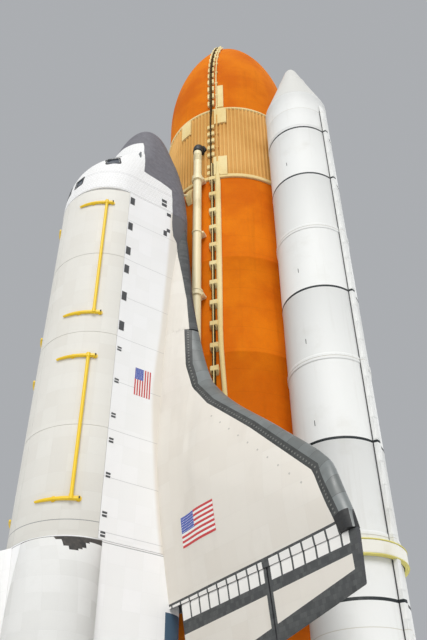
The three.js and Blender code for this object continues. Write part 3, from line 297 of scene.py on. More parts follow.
def blocks(middles, halves_a, halves_b, halves_c, tone=0, bevel=0.16):
    """Many boxes at once, each from its middle and its three half edges. A box is four layers of 8 corners:
    the corners are cut off by a share of the shortest half edge, and the first and last layer are smaller."""
    parts = (np.atleast_2d(np.asarray(x, float)) for x in (middles, halves_a, halves_b, halves_c))
    m, a, b, c = np.broadcast_arrays(*parts)
    size = stack([np.linalg.norm(h, axis=1) for h in (a, b, c)])
    cut = (size.min(0) * bevel / size)[:, :, None, None]
    flat, low = array([1, 1, 1, 1, 1, 1, 1, 1.0]), array([0, 1, 1, 0, 0, 1, 1, 0])
    u = array([1, 1, -1, -1, -1, -1, 1, 1]) * (flat - low * cut[0])
    v = array([1, 1, 1, 1, -1, -1, -1, -1]) * (flat - (1 - low) * cut[1])
    outer = array([1, 0, 0, 1])[:, None]
    u, v = u * (1 - outer * cut[0]), v * (1 - outer * cut[1])
    w = array([-1, -1, 1, 1])[:, None] * (1 - (1 - outer) * cut[2])
    points = m[:, None, None] + sum(s[..., None] * h[:, None, None] for s, h in ((u, a), (v, b), (w, c)))
    k = np.arange(8)
    walls = [stack([r * 8 + k, r * 8 + (k + 1) % 8, r * 8 + 8 + (k + 1) % 8, r * 8 + 8 + k], -1)
             for r in range(3)]
    caps = array([[0, 1, 2, 3], [0, 3, 4, 7], [4, 5, 6, 7]])
    faces = concatenate([*walls, caps, caps + 24])
    quads = (np.arange(len(m))[:, None, None] * 32 + faces).reshape(-1, 4)
    unit = array([[0, 0], [1, 0], [1, 1], [0, 1]]) * size.max()
    uv = np.broadcast_to(unit, (len(quads), 4, 2))
    return Shape(points.reshape(-1, 3), quads, uv, np.full(len(quads), tone))


def box(middle, out, deep, high, tone=0):
    """Upright boxes from their middles and their half sizes in inches: across, fore and aft, and up."""
    return blocks(middle, (out * INCH, 0, 0), (0, deep * INCH, 0), (0, 0, high * INCH), tone)


HARD_EDGE = 35.0  # degrees between two faces from which their edge stays hard


def mesh_of(name, shape, edge=HARD_EDGE):
    """A mesh with its doubled points merged, its faces turned outwards and its hard edges kept."""
    mesh = bpy.data.meshes.new(name)
    count = len(shape.quads)
    mesh.vertices.add(len(shape.points))
    mesh.vertices.foreach_set("co", shape.points.astype(np.float32).ravel())
    mesh.loops.add(count * 4)
    mesh.loops.foreach_set("vertex_index", shape.quads.astype(np.int32).ravel())
    mesh.polygons.add(count)
    mesh.polygons.foreach_set("loop_start", np.arange(0, count * 4, 4, dtype=np.int32))
    mesh.polygons.foreach_set("material_index", shape.tone.astype(np.int32))
    mesh.update(calc_edges=True)
    layer = mesh.uv_layers.new(name="metres")
    layer.data.foreach_set("uv", shape.uv.astype(np.float32).ravel())
    cleaned = bmesh.new()
    cleaned.from_mesh(mesh)
    bmesh.ops.remove_doubles(cleaned, verts=cleaned.verts, dist=2e-5)
    bmesh.ops.dissolve_degenerate(cleaned, edges=cleaned.edges, dist=1e-6)
    bmesh.ops.recalc_face_normals(cleaned, faces=cleaned.faces)
    cleaned.to_mesh(mesh)
    cleaned.free()
    mesh.shade_smooth()
    mesh.set_sharp_from_angle(angle=radians(edge))
    return mesh


def piece(name, shape, looks, slot, *replaces, body="stack", edge=HARD_EDGE):
    """Makes a shape, or a list of shapes, an object with its materials, lets it ride on a body and stand for
    the nodes that it replaces."""
    shape = joined(*shape) if isinstance(shape, list) else shape
    thing = bpy.data.objects.new(name, mesh_of(name, shape, edge))
    bpy.context.scene.collection.objects.link(thing)
    for look in looks if isinstance(looks, (list, tuple)) else (looks,):
        thing.data.materials.append(look)
    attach(thing, body)
    if replaces:
        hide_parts(*replaces)
    print(f"{name}: {len(thing.data.polygons)} faces")
    return thing


def carve(thing, cutter):
    """Cuts a piece by a closed shape and keeps the result as its mesh."""
    tool = bpy.data.objects.new("cutter", mesh_of("cutter", cutter))
    bpy.context.scene.collection.objects.link(tool)
    modifier = thing.modifiers.new("carve", "BOOLEAN")
    modifier.object, modifier.operation, modifier.solver = tool, "DIFFERENCE", "EXACT"
    modifier.use_self = True
    result = bpy.data.meshes.new_from_object(thing.evaluated_get(bpy.context.evaluated_depsgraph_get()))
    thing.modifiers.remove(modifier)
    thing.data = result
    bpy.data.objects.remove(tool)
    result.shade_smooth()
    result.set_sharp_from_angle(angle=radians(HARD_EDGE))


# %% [markdown]
# ## Finishes from nodes
# Every material is a Principled shader whose colour, roughness and bump come from a few nodes. They read the
# piece's UV map in metres, where a pattern follows the surface, or the place in the frame, where a marking
# has its station. The small class below only shortens the making and linking of nodes.


# %% A short way to write shader nodes
def linear(red, green, blue):
    """A colour given as a screen shows it, from 0 to 255, as the light that the shader wants."""
    return tuple(((c / 255 + 0.055) / 1.055) ** 2.4 if c > 10 else c / 3294.6 for c in (red, green, blue))


class Look:
    """A material in the making: each method adds a node and returns its output."""

    def __init__(self, name, color=(200, 200, 200), roughness=0.6, metallic=0.0):
        self.material = bpy.data.materials.new(name)
        self.material.use_nodes = True
        self.nodes = self.material.node_tree.nodes
        self.links = self.material.node_tree.links
        self.shader = self.nodes["Principled BSDF"]
        self.shader.inputs["Base Color"].default_value = (*linear(*color), 1)
        self.shader.inputs["Roughness"].default_value = roughness
        self.shader.inputs["Metallic"].default_value = metallic

    def give(self, socket, value):
        """Links a node's output to a socket, or sets the socket's own value."""
        if isinstance(value, bpy.types.NodeSocket):
            self.links.new(value, socket)
        elif isinstance(value, tuple) and socket.type == "RGBA":
            socket.default_value = (*linear(*value), 1)
        else:
            socket.default_value = value

    def node(self, kind, output, inputs, **settings):
        made = self.nodes.new("ShaderNode" + kind)
        for key, value in settings.items():
            setattr(made, key, value)
        for key, value in inputs.items():
            if value is not None:
                self.give(made.inputs[key], value)
        return made.outputs[output]

    def place(self, kind="Object", scale=(1, 1, 1)):
        source = self.node("TexCoord", kind, {})
        return self.node("Mapping", "Vector", {"Vector": source, "Scale": scale})

    def math(self, operation, a, b=None, c=None):
        return self.node("Math", "Value", {0: a, 1: b, 2: c}, operation=operation)

    def times(self, a, b):
        return self.math("MULTIPLY", a, b)

    def plus(self, a, b):
        return self.math("ADD", a, b)

    def scaled(self, a, factor, more):
        return self.math("MULTIPLY_ADD", a, factor, more)

    def under(self, a, b):
        """1 where a is less than b."""
        return self.math("LESS_THAN", a, b)

    def over(self, a, b):
        """1 where a is more than b."""
        return self.math("GREATER_THAN", a, b)

    def either(self, a, b):
        return self.math("MAXIMUM", a, b)

    def split(self, vector):
        made = self.nodes.new("ShaderNodeSeparateXYZ")
        self.links.new(vector, made.inputs[0])
        return made.outputs[0], made.outputs[1], made.outputs[2]

    def stations(self):
        """The orbiter's station, distance out and water line in inches, from the place in the frame."""
        x, y, z = self.split(self.node("TexCoord", "Object", {}))
        start = FLOOR_STATION - TANK_TO_ORBITER
        return (
            self.scaled(z, -1 / INCH, start),
            self.times(self.math("ABSOLUTE", x), 1 / INCH),
            self.scaled(y, -1 / INCH, TANK_WATER_LINE + AXIS_Y / INCH),
        )

    def noise(self, vector, scale, detail=3.0, roughness=0.55):
        return self.node("TexNoise", "Fac", {"Vector": vector, "Scale": scale, "Detail": detail,
                                             "Roughness": roughness})

    def between(self, value, low, high, start=0.0, end=1.0):
        """Rises smoothly from start to end as the value goes from low to high."""
        return self.node("MapRange", "Result", {"Value": value, "From Min": low, "From Max": high,
                                                "To Min": start, "To Max": end},
                         interpolation_type="SMOOTHSTEP")

    def band(self, value, low, high):
        """1 between low and high, else 0."""
        above = self.over(value, low)
        return self.times(above, self.under(value, high))

    def lines(self, value, pitch, width, start=0.0):
        """1 on thin lines of the width given, which repeat at the pitch."""
        shifted = self.plus(value, width / 2 - start)
        return self.under(self.math("FLOORED_MODULO", shifted, pitch), width)

    def mix(self, share, a, b):
        made = self.nodes.new("ShaderNodeMix")
        made.data_type = "RGBA"
        for key, value in ((0, share), (6, a), (7, b)):
            self.give(made.inputs[key], value)
        return made.outputs[2]

    def bricks(self, vector, wide, high, gap, tones=((0, 0, 0), (255, 255, 255)), offset=0.0):
        """Fac is 1 in the gaps, and Color changes from brick to brick between the two tones."""
        made = self.nodes.new("ShaderNodeTexBrick")
        made.offset, made.squash = offset, 1.0
        inputs = {"Vector": vector, "Color1": tones[0], "Color2": tones[1], "Mortar": tones[0], "Scale": 1.0,
                  "Mortar Size": gap, "Mortar Smooth": 0.1, "Brick Width": wide, "Row Height": high}
        for key, value in inputs.items():
            self.give(made.inputs[key], value)
        return made.outputs["Color"], made.outputs["Fac"]

    def curve(self, value, low, high, rows, top):
        """A line through rows of [place, height]: place is within low to high, and height within 0 to top."""
        share = self.node("MapRange", "Result", {"Value": value, "From Min": low, "From Max": high})
        made = self.nodes.new("ShaderNodeFloatCurve")
        points = made.mapping.curves[0].points
        while len(points) < len(rows):
            points.new(0.5, 0.5)
        for point, (at, height) in zip(points, rows):
            point.location = ((at - low) / (high - low), height / top)
            point.handle_type = "VECTOR"
        made.mapping.update()
        self.links.new(share, made.inputs["Value"])
        return self.times(made.outputs[0], top)

    def bump(self, height, depth, strength=1.0):
        return self.node("Bump", "Normal", {"Height": height, "Distance": depth, "Strength": strength})

    def wear(self, color, vector, scale, dirt, low=0.55, high=0.8):
        """The colour with soft stains where a noise is high."""
        return self.mix(self.between(self.noise(vector, scale, 5.0), low, high, 0.0, 0.5), color, dirt)

    def done(self, color=None, roughness=None, normal=None):
        for key, value in (("Base Color", color), ("Roughness", roughness), ("Normal", normal)):
            if value is not None:
                self.links.new(value, self.shader.inputs[key])
        return self.material


# %% [markdown]
# The floor is a plain pale sheet, far larger than the stack, so that its edge never shows close by.

# %% Floor
floor_look = Look("studio_floor", (222, 222, 220), 0.7)
floor_tint = floor_look.noise(floor_look.place(), 0.4)
floor_look.done(floor_look.mix(floor_tint, (220, 220, 218), (226, 226, 225)))
floor_points = array([[[-90, -90, -0.002], [90, -90, -0.002]], [[-90, 90, -0.002], [90, 90, -0.002]]], float)
floor = bpy.data.objects.new("studio_floor", mesh_of("studio_floor", grid(floor_points)))
floor.data.materials.append(floor_look.material)
bpy.context.scene.collection.objects.link(floor)
floor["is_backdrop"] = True

# %% [markdown]
# ## Finishes of the tank
# The tank is covered with sprayed foam. It comes out pale cream and turns orange as it ages, and its skin
# stays slightly dimpled. So one recipe serves all of it: a colour that drifts softly between two tones,
# faint rings where the sprayer stopped, darker streaks that run down, and two sizes of dimples as bump.


# %% Foam in its ages
def foam(name, fresh, aged, ring_pitch=0.0, streak=0.25, dimple=0.004):
    look = Look(name, fresh, 0.78)
    place = look.place()
    soft = look.between(look.noise(place, 0.7, 4.0), 0.35, 0.68)
    color = look.mix(soft, fresh, aged)
    streaks = look.noise(look.place(scale=(5, 5, 0.25)), 1.0, 4.0)
    color = look.mix(look.between(streaks, 0.55, 0.8, 0, streak), color, tuple(0.75 * c for c in aged))
    grain = look.noise(place, 22, 6.0, 0.65)
    color = look.mix(look.between(grain, 0.3, 0.75, 0.1, 0.0), color, tuple(0.5 * c for c in aged))
    height = look.scaled(look.noise(place, 2.2, 3.0), 3.0, grain)
    if ring_pitch:
        rings = look.lines(look.split(place)[2], ring_pitch, 0.02)
        color = look.mix(look.times(rings, 0.1), color, tuple(0.7 * c for c in aged))
        height = look.scaled(rings, -0.5, height)
    rough = look.between(grain, 0.2, 0.8, 0.75, 0.95)
    look.shader.inputs["Specular IOR Level"].default_value = 0.12
    return look.done(color, rough, look.bump(height, dimple, 0.7))


orange_foam = foam("orange_foam", (230, 126, 10), (212, 104, 4), 0.64, 0.2)
tan_foam = foam("tan_foam", (232, 184, 112), (218, 168, 94), 0, 0.15, 0.003)
# The foam of the collar's valleys is darker than the rib tops: painted shade in the recesses between the
# ribs.
shaded_valley_foam = foam("shaded_valley_foam", (218, 168, 98), (204, 150, 80), 0, 0.2, 0.003)
cream_foam = foam("cream_foam", (246, 228, 172), (235, 210, 148), 0, 0.15, 0.003)
dark_foam = foam("dark_foam", (92, 72, 36), (66, 50, 28), 0, 0.3, 0.003)


def painted(name, color, dirt, roughness=0.45, metallic=0.0):
    look = Look(name, color, roughness, metallic)
    place = look.place()
    tint = look.wear(color, place, 1.6, dirt)
    tint = look.wear(tint, place, 9.0, dirt, 0.62, 0.9)
    grain = look.noise(place, 30, 4.0)
    rough = look.between(grain, 0.2, 0.8, roughness - 0.08, roughness + 0.12)
    return look.done(tint, rough, look.bump(grain, 0.0008, 0.5))


cream_paint = painted("cream_paint", (244, 230, 188), (196, 172, 118))
grey_metal = painted("grey_metal", (118, 119, 121), (72, 70, 68), 0.42, 0.75)
dark_metal = painted("dark_metal", (62, 63, 65), (38, 37, 36), 0.5, 0.6)

# %% [markdown]
# ## The oxygen tank
# The nose of the tank is an ogive: the arc of a very large circle, turned about the axis. A small cone of
# harder material closes its tip. The profile below is the arc's own formula, taken at close steps.

# %% Oxygen tank
TANK_RADIUS = 165.5
OGIVE_START, OGIVE_END, OGIVE_RADIUS = 371, 744.6, 612
INTERTANK_TOP, INTERTANK_END = 852.8, 1123.2


def tank_radius(station):
    """The tank's radius at a station: the large circle's arc on the nose, and even behind it."""
    ahead = np.maximum(0, OGIVE_END - np.asarray(station, float))
    return np.sqrt(OGIVE_RADIUS ** 2 - ahead ** 2) - (OGIVE_RADIUS - TANK_RADIUS)


nose_rows = [[0, 322.4], [1.6, 322.7], [2.7, 324], [4.6, 330], [6.4, 336.5], [13.2, 345.5], [15.2, 348]]
nose_rows += [[36.2, 367], [37.2, 369.6]]
arc = linspace(OGIVE_START, OGIVE_END, 44)
profile = nose_rows + [[tank_radius(s), s] for s in arc] + [[TANK_RADIUS, 800],
                                                            [TANK_RADIUS, INTERTANK_TOP - 0.6]]
profile += [[TANK_RADIUS - 3, INTERTANK_TOP - 0.1], [0, INTERTANK_TOP - 0.1]]
tip = [1 if row[1] < 366 else 0 for row in profile]
piece("oxygen_tank_shell", turned(in_tank, profile, 160, tip), [orange_foam, cream_foam], "tank_foam",
      "tank_oxygen_section")

# %% [markdown]
# ## The ribbed collar
# Between the two tanks the load of the boosters comes in, so the collar is stiffened by a hundred and eight
# hat-shaped ribs under the foam. They are real steps in the surface here: each rib is a short run of columns
# of the grid, further out than the valley beside it. A smooth band of paler foam closes each end.

# %% Ribbed collar
RIBS = 108
RIB_SHAPE = array([[0.04, 0], [0.12, 0.8], [0.2, 2.3], [0.26, 2.6], [0.5, 2.6], [0.56, 2.3], [0.64, 0.8],
                   [0.72, 0]])
rib_turn = 2 * pi * (np.arange(RIBS)[:, None] + RIB_SHAPE[:, 0]).ravel() / RIBS
rib_rise = np.tile(RIB_SHAPE[:, 1], RIBS)
collar_rows = [[INTERTANK_TOP + 0.2, 2.4, 0], [INTERTANK_TOP + 0.8, 3.4, 0], [INTERTANK_TOP + 4.6, 3.4, 0]]
collar_rows += [[INTERTANK_TOP + 5.6, 2.6, 0], [INTERTANK_TOP + 6.4, 0, 1]]
collar_rows += [[s, 0, 1] for s in linspace(INTERTANK_TOP + 12, INTERTANK_END - 17, 12)]
collar_rows += [[INTERTANK_END - 11.5, 0, 1], [INTERTANK_END - 10.5, 3.4, 0], [INTERTANK_END - 9.5, 4.0, 0]]
collar_rows += [[INTERTANK_END - 1.2, 4.0, 0], [INTERTANK_END - 0.2, 2.8, 0]]
rows = array(collar_rows)
reach = TANK_RADIUS + rows[:, 1:2] + rows[:, 2:3] * rib_rise
collar = in_tank(reach * sin(rib_turn), -reach * cos(rib_turn), rows[:, :1])
on_rib = (rib_rise > 0.5).astype(int)
# Rib tops take tan foam, the valleys the darker foam of painted shade, and the smooth ends cream.
collar_tone = np.where(rows[:, 2:3] > 0, 1 - np.broadcast_to(on_rib, reach.shape), 2)
collar_ends = [lid(collar[0], 2), lid(collar[-1], 2)]
piece("ribbed_collar", joined(grid(collar, True, collar_tone), *collar_ends),
      [tan_foam, shaded_valley_foam, cream_foam], "ribbed_foam", "tank_intertank", edge=30)

# %% [markdown]
# ## The hydrogen tank
# The long barrel is a plain cylinder with low rings where its sections were welded together, and a heavier
# ring at its foot that takes the orbiter's and the boosters' struts. It ends in a shallow dome, a quarter of
# an ellipse, with two round covers on it.

# %% Hydrogen tank
AFT_RING, TANK_END = 2058, 2173
barrel = [[0, INTERTANK_END + 0.1], [TANK_RADIUS - 2, INTERTANK_END + 0.1],
          [TANK_RADIUS, INTERTANK_END + 0.8]]
for seam in linspace(1377, 1876, 3):
    barrel += [[TANK_RADIUS, seam - 3], [TANK_RADIUS + 0.7, seam - 1.5], [TANK_RADIUS + 0.7, seam + 1.5]]
    barrel += [[TANK_RADIUS, seam + 3]]
barrel += [[TANK_RADIUS, 2043], [TANK_RADIUS + 2.3, 2046], [TANK_RADIUS + 2.5, 2049],
           [TANK_RADIUS + 2.5, 2061]]
barrel += [[TANK_RADIUS + 2.2, 2064], [TANK_RADIUS - 0.5, 2067]]
dome_turn = angles(5, 90, 28)
barrel += [[TANK_RADIUS * cos(t), AFT_RING + (TANK_END - AFT_RING) * sin(t)] for t in dome_turn]
piece("hydrogen_tank_shell", turned(in_tank, barrel, 160), orange_foam, "tank_foam", "tank_hydrogen_section")

covers = []
for x, y in ((0, 0), (62, 48)):
    foot = AFT_RING + (TANK_END - AFT_RING) * math.sqrt(1 - (x * x + y * y) / TANK_RADIUS ** 2)
    ring = [[19, foot - 6], [19, foot + 0.6], [17.5, foot + 2], [8, foot + 2.6], [0, foot + 2.6]]
    covers.append(turned(lambda a, b, s, x=x, y=y: in_tank(a + x, b + y, s), ring, 40))
piece("tank_dome_covers", covers, cream_foam, "tank_foam")

# %% [markdown]
# ## Lines along the tank
# A cable tray and a pressure line run down the tank side by side. Both follow its skin: a row of a line's
# table gives a station, half the width, the foot above the skin and the height, and each row becomes a loop
# of points that are set out by angle and radius. Brackets with foam ramps hold them at even steps.

# %% Cable tray and pressure line
TRAY_ANGLE, LINE_ANGLE = 34.0, 38.7


def on_tank(above, degrees, station, across=0.0):
    """A point at a height above the tank's skin, degrees round from the orbiter's side, and inches across."""
    radius = tank_radius(station)
    turn = radians(degrees) + np.asarray(across) / radius
    return in_tank((radius + above) * sin(turn), -(radius + above) * cos(turn), station)


def along_skin(rows, degrees, tone=0, shape=((-1, 0), (1, 0), (1, 0.72), (0.78, 1), (-0.78, 1), (-1, 0.72))):
    """A closed line on the skin. shape has the loop's corners as shares of half width and height."""
    rows = array(rows, float)
    station, half, foot, height = (rows[:, k:k + 1] for k in range(4))
    drift = rows[:, 4:5] if rows.shape[1] > 4 else 0
    u, v = array(shape).T
    return skin(on_tank(foot + v * height, degrees + drift, station, u * half), tone)


def skin_blocks(stations, degrees, across, half, low, high, half_long, tone=0):
    """A box on the skin at each station, from low to high above it."""
    stations = np.atleast_1d(np.asarray(stations, float))
    turn = radians(np.broadcast_to(degrees, stations.shape)) + across / tank_radius(stations)
    middle = on_tank((low + high) / 2, np.degrees(turn), stations)
    out = stack([sin(turn), -cos(turn), 0 * turn], -1) * (high - low) / 2 * INCH
    side = stack([cos(turn), sin(turn), 0 * turn], -1) * half * INCH
    return blocks(middle, side, out, array([0, 0, half_long * INCH]), tone)


dense = concatenate([linspace(424, 748, 28), linspace(760, 1860, 24)])
dense = np.sort(np.append(dense, [868, 884, 1068, 1074]))
tray_half = np.interp(dense, [868, 884, 1068, 1074], [2.4, 1.3, 1.3, 3.1])
tray_drift = np.interp(dense, [860, 900, 1068, 1074], [0, -0.5, -0.5, 0.5])
tray = along_skin(stack([dense, tray_half, 4.6 + 0 * dense, 4.7 + 0 * dense, tray_drift], -1), TRAY_ANGLE)
tray_tube = along_skin([[s, 0.9, 9, 1.3] for s in dense[dense > 1073]], TRAY_ANGLE + 0.5, 1)
tray_ribs = [skin_blocks(np.arange(436, 862, 9), TRAY_ANGLE, 0, 2.8, 4.4, 9.7, 0.7),
             skin_blocks(np.arange(1080, 1856, 9), TRAY_ANGLE + 0.5, 0, 3.4, 4.4, 9.6, 0.7)]
piece("cable_tray", joined(tray, tray_tube, *tray_ribs), [dark_foam, cream_foam], "cream_paint",
      "tank_cable_tray")

BRACKETS = np.arange(478, 1850, 54.0)
ramp_loops = [[-13, 6.5, -1, 1.2], [-5, 8.4, -1, 11], [5, 8.4, -1, 11], [12, 7, -1, 1.2]]
ramp_parts = []
for station in BRACKETS[BRACKETS > INTERTANK_END]:
    rows = [[station + step, half, foot, height] for step, half, foot, height in ramp_loops]
    ramp_parts.append(along_skin(rows, TRAY_ANGLE + 0.5))
for across in (-6.6, 3.6):
    ramp_parts.append(skin_blocks(np.arange(928, 1060, 27.0), TRAY_ANGLE, across, 3.6, 1.5, 7.0, 6))
for across in (-6.6, 5.4):
    ramp_parts.append(skin_blocks(np.arange(444, 846, 32.0), TRAY_ANGLE, across, 2.4, -0.6, 6.6, 9))
ramp_parts.append(skin_blocks([1080, 1102], TRAY_ANGLE, -7.5, 3.6, 1.5, 7.0, 6))
piece("tray_brackets", ramp_parts, cream_foam, "cream_paint")

beside = np.maximum(0, np.degrees(11.8 / tank_radius(dense)) - (LINE_ANGLE - TRAY_ANGLE))
line_rows = [[436, 0.0], *[[s, d] for s, d in zip(dense, beside) if s > 440], [1740, 2.5], [2036, 2.5]]
line_rows = sorted(row for row in line_rows if row[0] <= 1740 or row[0] in (1740, 2036))
line_rows[0][1] = line_rows[1][1]
stations = array([row[0] for row in line_rows])
drift = np.where(stations > 1600, np.interp(stations, [1600, 1740], [0, 2.5]), [row[1] for row in line_rows])
ROUND_LINE = [(cos(t), 0.5 + 0.5 * sin(t)) for t in full_turn(12)]
line_half = np.interp(stations, [436, 800, 1090, 1112, 1400, 1700, 2036], [1.6, 1.6, 2.0, 6.6, 6.2, 4.6, 4.0])
line_foot = np.interp(stations, [436, 1090, 1112, 2036], [2.6, 3.6, -0.4, -0.4])
line_height = np.interp(stations, [436, 1090, 1112, 2036], [3.4, 4.4, 9.4, 8.0])
on_collar = ((stations > 880) & (stations < 1060)).astype(int)[:, None] + 0 * np.arange(12)
line_rows = stack([stations, line_half, line_foot, line_height, drift], -1)
line_body = along_skin(line_rows, LINE_ANGLE, on_collar, ROUND_LINE)
line_feet = []
for station in np.arange(470, 1740, 54.0):
    turn = LINE_ANGLE + float(np.interp(station, stations, drift))
    line_feet.append(skin_blocks(station, turn, 0, 3.4, -0.6, 5.0, 2.2, int(880 < station < 1060)))
for station in np.arange(1764, 2030, 54.0):
    line_feet.append(skin_blocks(station, LINE_ANGLE + 2.5, 0, 3.4, -0.6, 5.0, 2.2))
piece("pressure_line", joined(line_body, *line_feet), [cream_foam, tan_foam], "cream_paint",
      "tank_pressure_line")

pads = [
    skin_blocks([887], LINE_ANGLE + 0.4, 0, 8, 0.2, 5.6, 31),
    skin_blocks([886], LINE_ANGLE + 5.4, 0, 8, 0.2, 5.2, 30),
    skin_blocks([803], LINE_ANGLE + 3.4, 0, 7.6, -0.5, 5.0, 47),
    skin_blocks([889], 6, 0, 8, 0.2, 5.0, 30),
    skin_blocks([889], 11, 0, 7, 0.2, 4.6, 28),
    skin_blocks([1080], LINE_ANGLE - 0.4, 0, 8.5, 0.2, 5.6, 33),
    skin_blocks([1082], LINE_ANGLE + 5, 0, 8.5, 0.2, 5.2, 34),
]
piece("collar_pads", pads, cream_foam, "cream_paint")

# %% [markdown]
# ## The feed line
# The thick pipe carries liquid oxygen past the hydrogen tank to the orbiter. It leaves the collar through an
# elbow, runs beside the barrel and bends across to the umbilical plate. Its round section is swept along a
# smooth path. The ribs near each end are bellows that let it stretch: the radius there goes in and out.

# %% Feed line
FEED_ANGLE, FEED_ABOVE, FEED_RADIUS = 24.0, 18.0, 9.6
UMBILICAL_X, UMBILICAL_Y, UMBILICAL_STATION = 70, -186, 2052


def smooth_path(knots, steps=12):
    """A path through knots: between each two, a cubic whose end directions point to the next knots."""
    knots = array(knots, float)
    ways = np.gradient(knots, axis=0)
    t = linspace(0, 1, steps, endpoint=False)[:, None]
    parts = []
    for a, b, u, v in zip(knots[:-1], knots[1:], ways[:-1], ways[1:]):
        reach = np.linalg.norm(b - a)
        u = u / np.linalg.norm(u) * reach
        v = v / np.linalg.norm(v) * reach
        parts.append((2 * t ** 3 - 3 * t ** 2 + 1) * a + (t ** 3 - 2 * t ** 2 + t) * u
                     + (3 * t ** 2 - 2 * t ** 3) * b + (t ** 3 - t ** 2) * v)
    return concatenate([*parts, knots[-1:]])


straight = [on_tank(FEED_ABOVE, FEED_ANGLE, s) for s in np.arange(1029, 1961, 3.0)]
bend = smooth_path([in_tank(*p) for p in (
    (74.6, -167.6, 1961), (73.5, -171, 1985), (71, -181, 2012), (UMBILICAL_X, UMBILICAL_Y, 2030))], 10)
feed_path = concatenate([array(straight)[:-1], bend])
feed_station = FLOOR_STATION - feed_path[:, 2] / INCH
upper_bellows = (feed_station > 1040) & (feed_station < 1064)
lower_bellows = (feed_station > 1905) & (feed_station < 1935)
bellows = np.where(upper_bellows | lower_bellows, 0.8 * cos(np.arange(len(feed_path)) * pi), 0)
feed = [pipe(feed_path, (FEED_RADIUS + bellows) * INCH, 32)]
for station, half, more in ((1126, 7, 3.0), (1132, 2, 4.0), (1303, 3, 1.6), (1480, 7, 3.0), (1474, 2, 4.0),
                            (1690, 3, 1.6), (1880, 7, 3.0), (1874, 2, 4.0)):
    ends = [on_tank(FEED_ABOVE, FEED_ANGLE, station + step) for step in (-half, -half + 0.6, half - 0.6,
                                                                         half)]
    widths = array([-0.8, 0, 0, -0.8]) + FEED_RADIUS + more
    feed.append(pipe(ends, widths * INCH, 32))
for station in (1126, 1303, 1480, 1690, 1880):
    feed.append(skin_blocks(station, FEED_ANGLE, 0, 4.5, -1, FEED_ABOVE - 8, 4))
    feed.append(skin_blocks(station, FEED_ANGLE, 9, 4.5, -1, FEED_ABOVE - 2, 2.6))
piece("feed_line", feed, cream_paint, "cream_paint", "tank_feed_line")

elbow_path = smooth_path([on_tank(3, FEED_ANGLE, 1006), on_tank(14, FEED_ANGLE, 1010),
                          on_tank(FEED_ABOVE, FEED_ANGLE, 1028)], 8)
elbow = [pipe(elbow_path, 11.6 * INCH, 32), pipe([on_tank(0, FEED_ANGLE, 1006), on_tank(6, FEED_ANGLE, 1006)],
                                                 15 * INCH, 32)]
piece("feed_line_elbow", elbow, dark_metal, "bare_metal")

# %% [markdown]
# ## Where the orbiter hangs
# Two struts meet in a yoke under the orbiter's nose. At its tail it sits on a crossbeam, which is held off
# the tank's heavy ring by struts, and two plates beside it join the propellant lines. Each strut is a tube
# with a collar at each end; the plates are boxes with ribs and the ends of the lines in them.

# %% Bipod and aft frame


def strut(start, end, radius, collar=1.45, share=0.07):
    """A strut between two points of the frame in metres, thicker near its ends; radius in inches."""
    start, end = array(start, float), array(end, float)
    marks = array([0, share, share * 1.3, 1 - share * 1.3, 1 - share, 1])[:, None]
    widths = array([collar, collar, 1, 1, collar, collar]) * radius * INCH
    return pipe(start + (end - start) * marks, widths, 20)


FITTING_STATION = 1129
bipod = []
ramps = []
for _, side in SIDES:
    x = 38 * side
    y = -math.sqrt((TANK_RADIUS + 1) ** 2 - x ** 2)
    bipod.append(strut(in_tank(x, y - 3, 1150), in_tank(0, -205, FITTING_STATION), 3.1))
    turn = math.degrees(math.asin(x / TANK_RADIUS))
    ramps.append(along_skin([[1126, 8, -1, 2], [1142, 9, -1, 10], [1158, 9, -1, 10], [1178, 7, -1, 1.5]],
                            turn))
bipod.append(pipe([in_tank(0, -199.4, FITTING_STATION), in_tank(0, -208.6, FITTING_STATION)], 7 * INCH, 28))
bipod.append(pipe([in_tank(0, -196, FITTING_STATION), in_tank(0, -199.4, FITTING_STATION)], 4 * INCH, 20))
piece("forward_bipod_struts", bipod, cream_paint, "cream_paint", "forward_bipod")
piece("bipod_ramps", ramps, cream_foam, "tank_foam")

aft = []
plates = []
AFT_X = 96.5
aft.append(box(in_tank(0, -190, AFT_RING), AFT_X, 5.4, 6.4))
aft.append(box(in_tank(linspace(-84, 84, 13), -190, AFT_RING), 1.2, 6.2, 7.2))
for _, side in SIDES:
    skin_y = [-math.sqrt((TANK_RADIUS + 1) ** 2 - (x * x)) for x in (100, 118)]
    knuckle = in_tank(side * AFT_X, -190, AFT_RING)
    aft.append(pipe([knuckle, in_tank(side * AFT_X, -200, AFT_RING)], 7 * INCH, 28))
    aft.append(pipe([in_tank(side * AFT_X, -190, AFT_RING - 9), in_tank(side * AFT_X, -190, AFT_RING + 9)],
                    7.6 * INCH, 28))
    aft.append(strut(in_tank(side * 100, skin_y[0] - 7, 1880), knuckle, 5))
    aft.append(strut(in_tank(side * 118, skin_y[1] - 8, AFT_RING), knuckle, 5))
    turn = math.degrees(math.asin(side * 100 / TANK_RADIUS))
    aft.append(along_skin([[1862, 8, -1, 3], [1872, 9, -1, 12], [1884, 9, -1, 12], [1896, 7, -1, 2]], turn))
    aft.append(skin_blocks([AFT_RING], math.degrees(math.asin(side * 119 / TANK_RADIUS)), 0, 7, 0, 13, 6))
    middle = in_tank(side * UMBILICAL_X, UMBILICAL_Y, UMBILICAL_STATION)
    plates.append(box(middle, 19, 12, 25))
    for step in (-20, -7, 7, 20):
        plates.append(box(middle + (0, 0, step * INCH), 20, 13, 1.4))
    for step in (-10, 12):
        end = middle + (0, -12 * INCH, step * INCH)
        plates.append(pipe([end, end + (0, -2.2 * INCH, 0)], 7.6 * INCH, 28))
piece("aft_frame_struts", aft, cream_foam, "tank_foam", "aft_attach_frame")
piece("umbilical_plates", plates, cream_paint, "cream_paint")

# %% [markdown]
# ## Finishes of the boosters
# The boosters are steel cases under white paint. Where two cases meet, a band and a few dark lines run round
# them, so the paint's recipe reads the booster's station from the height in the frame and draws the lines
# where they belong. The lines near the middle stop short of the side that faces the tank.


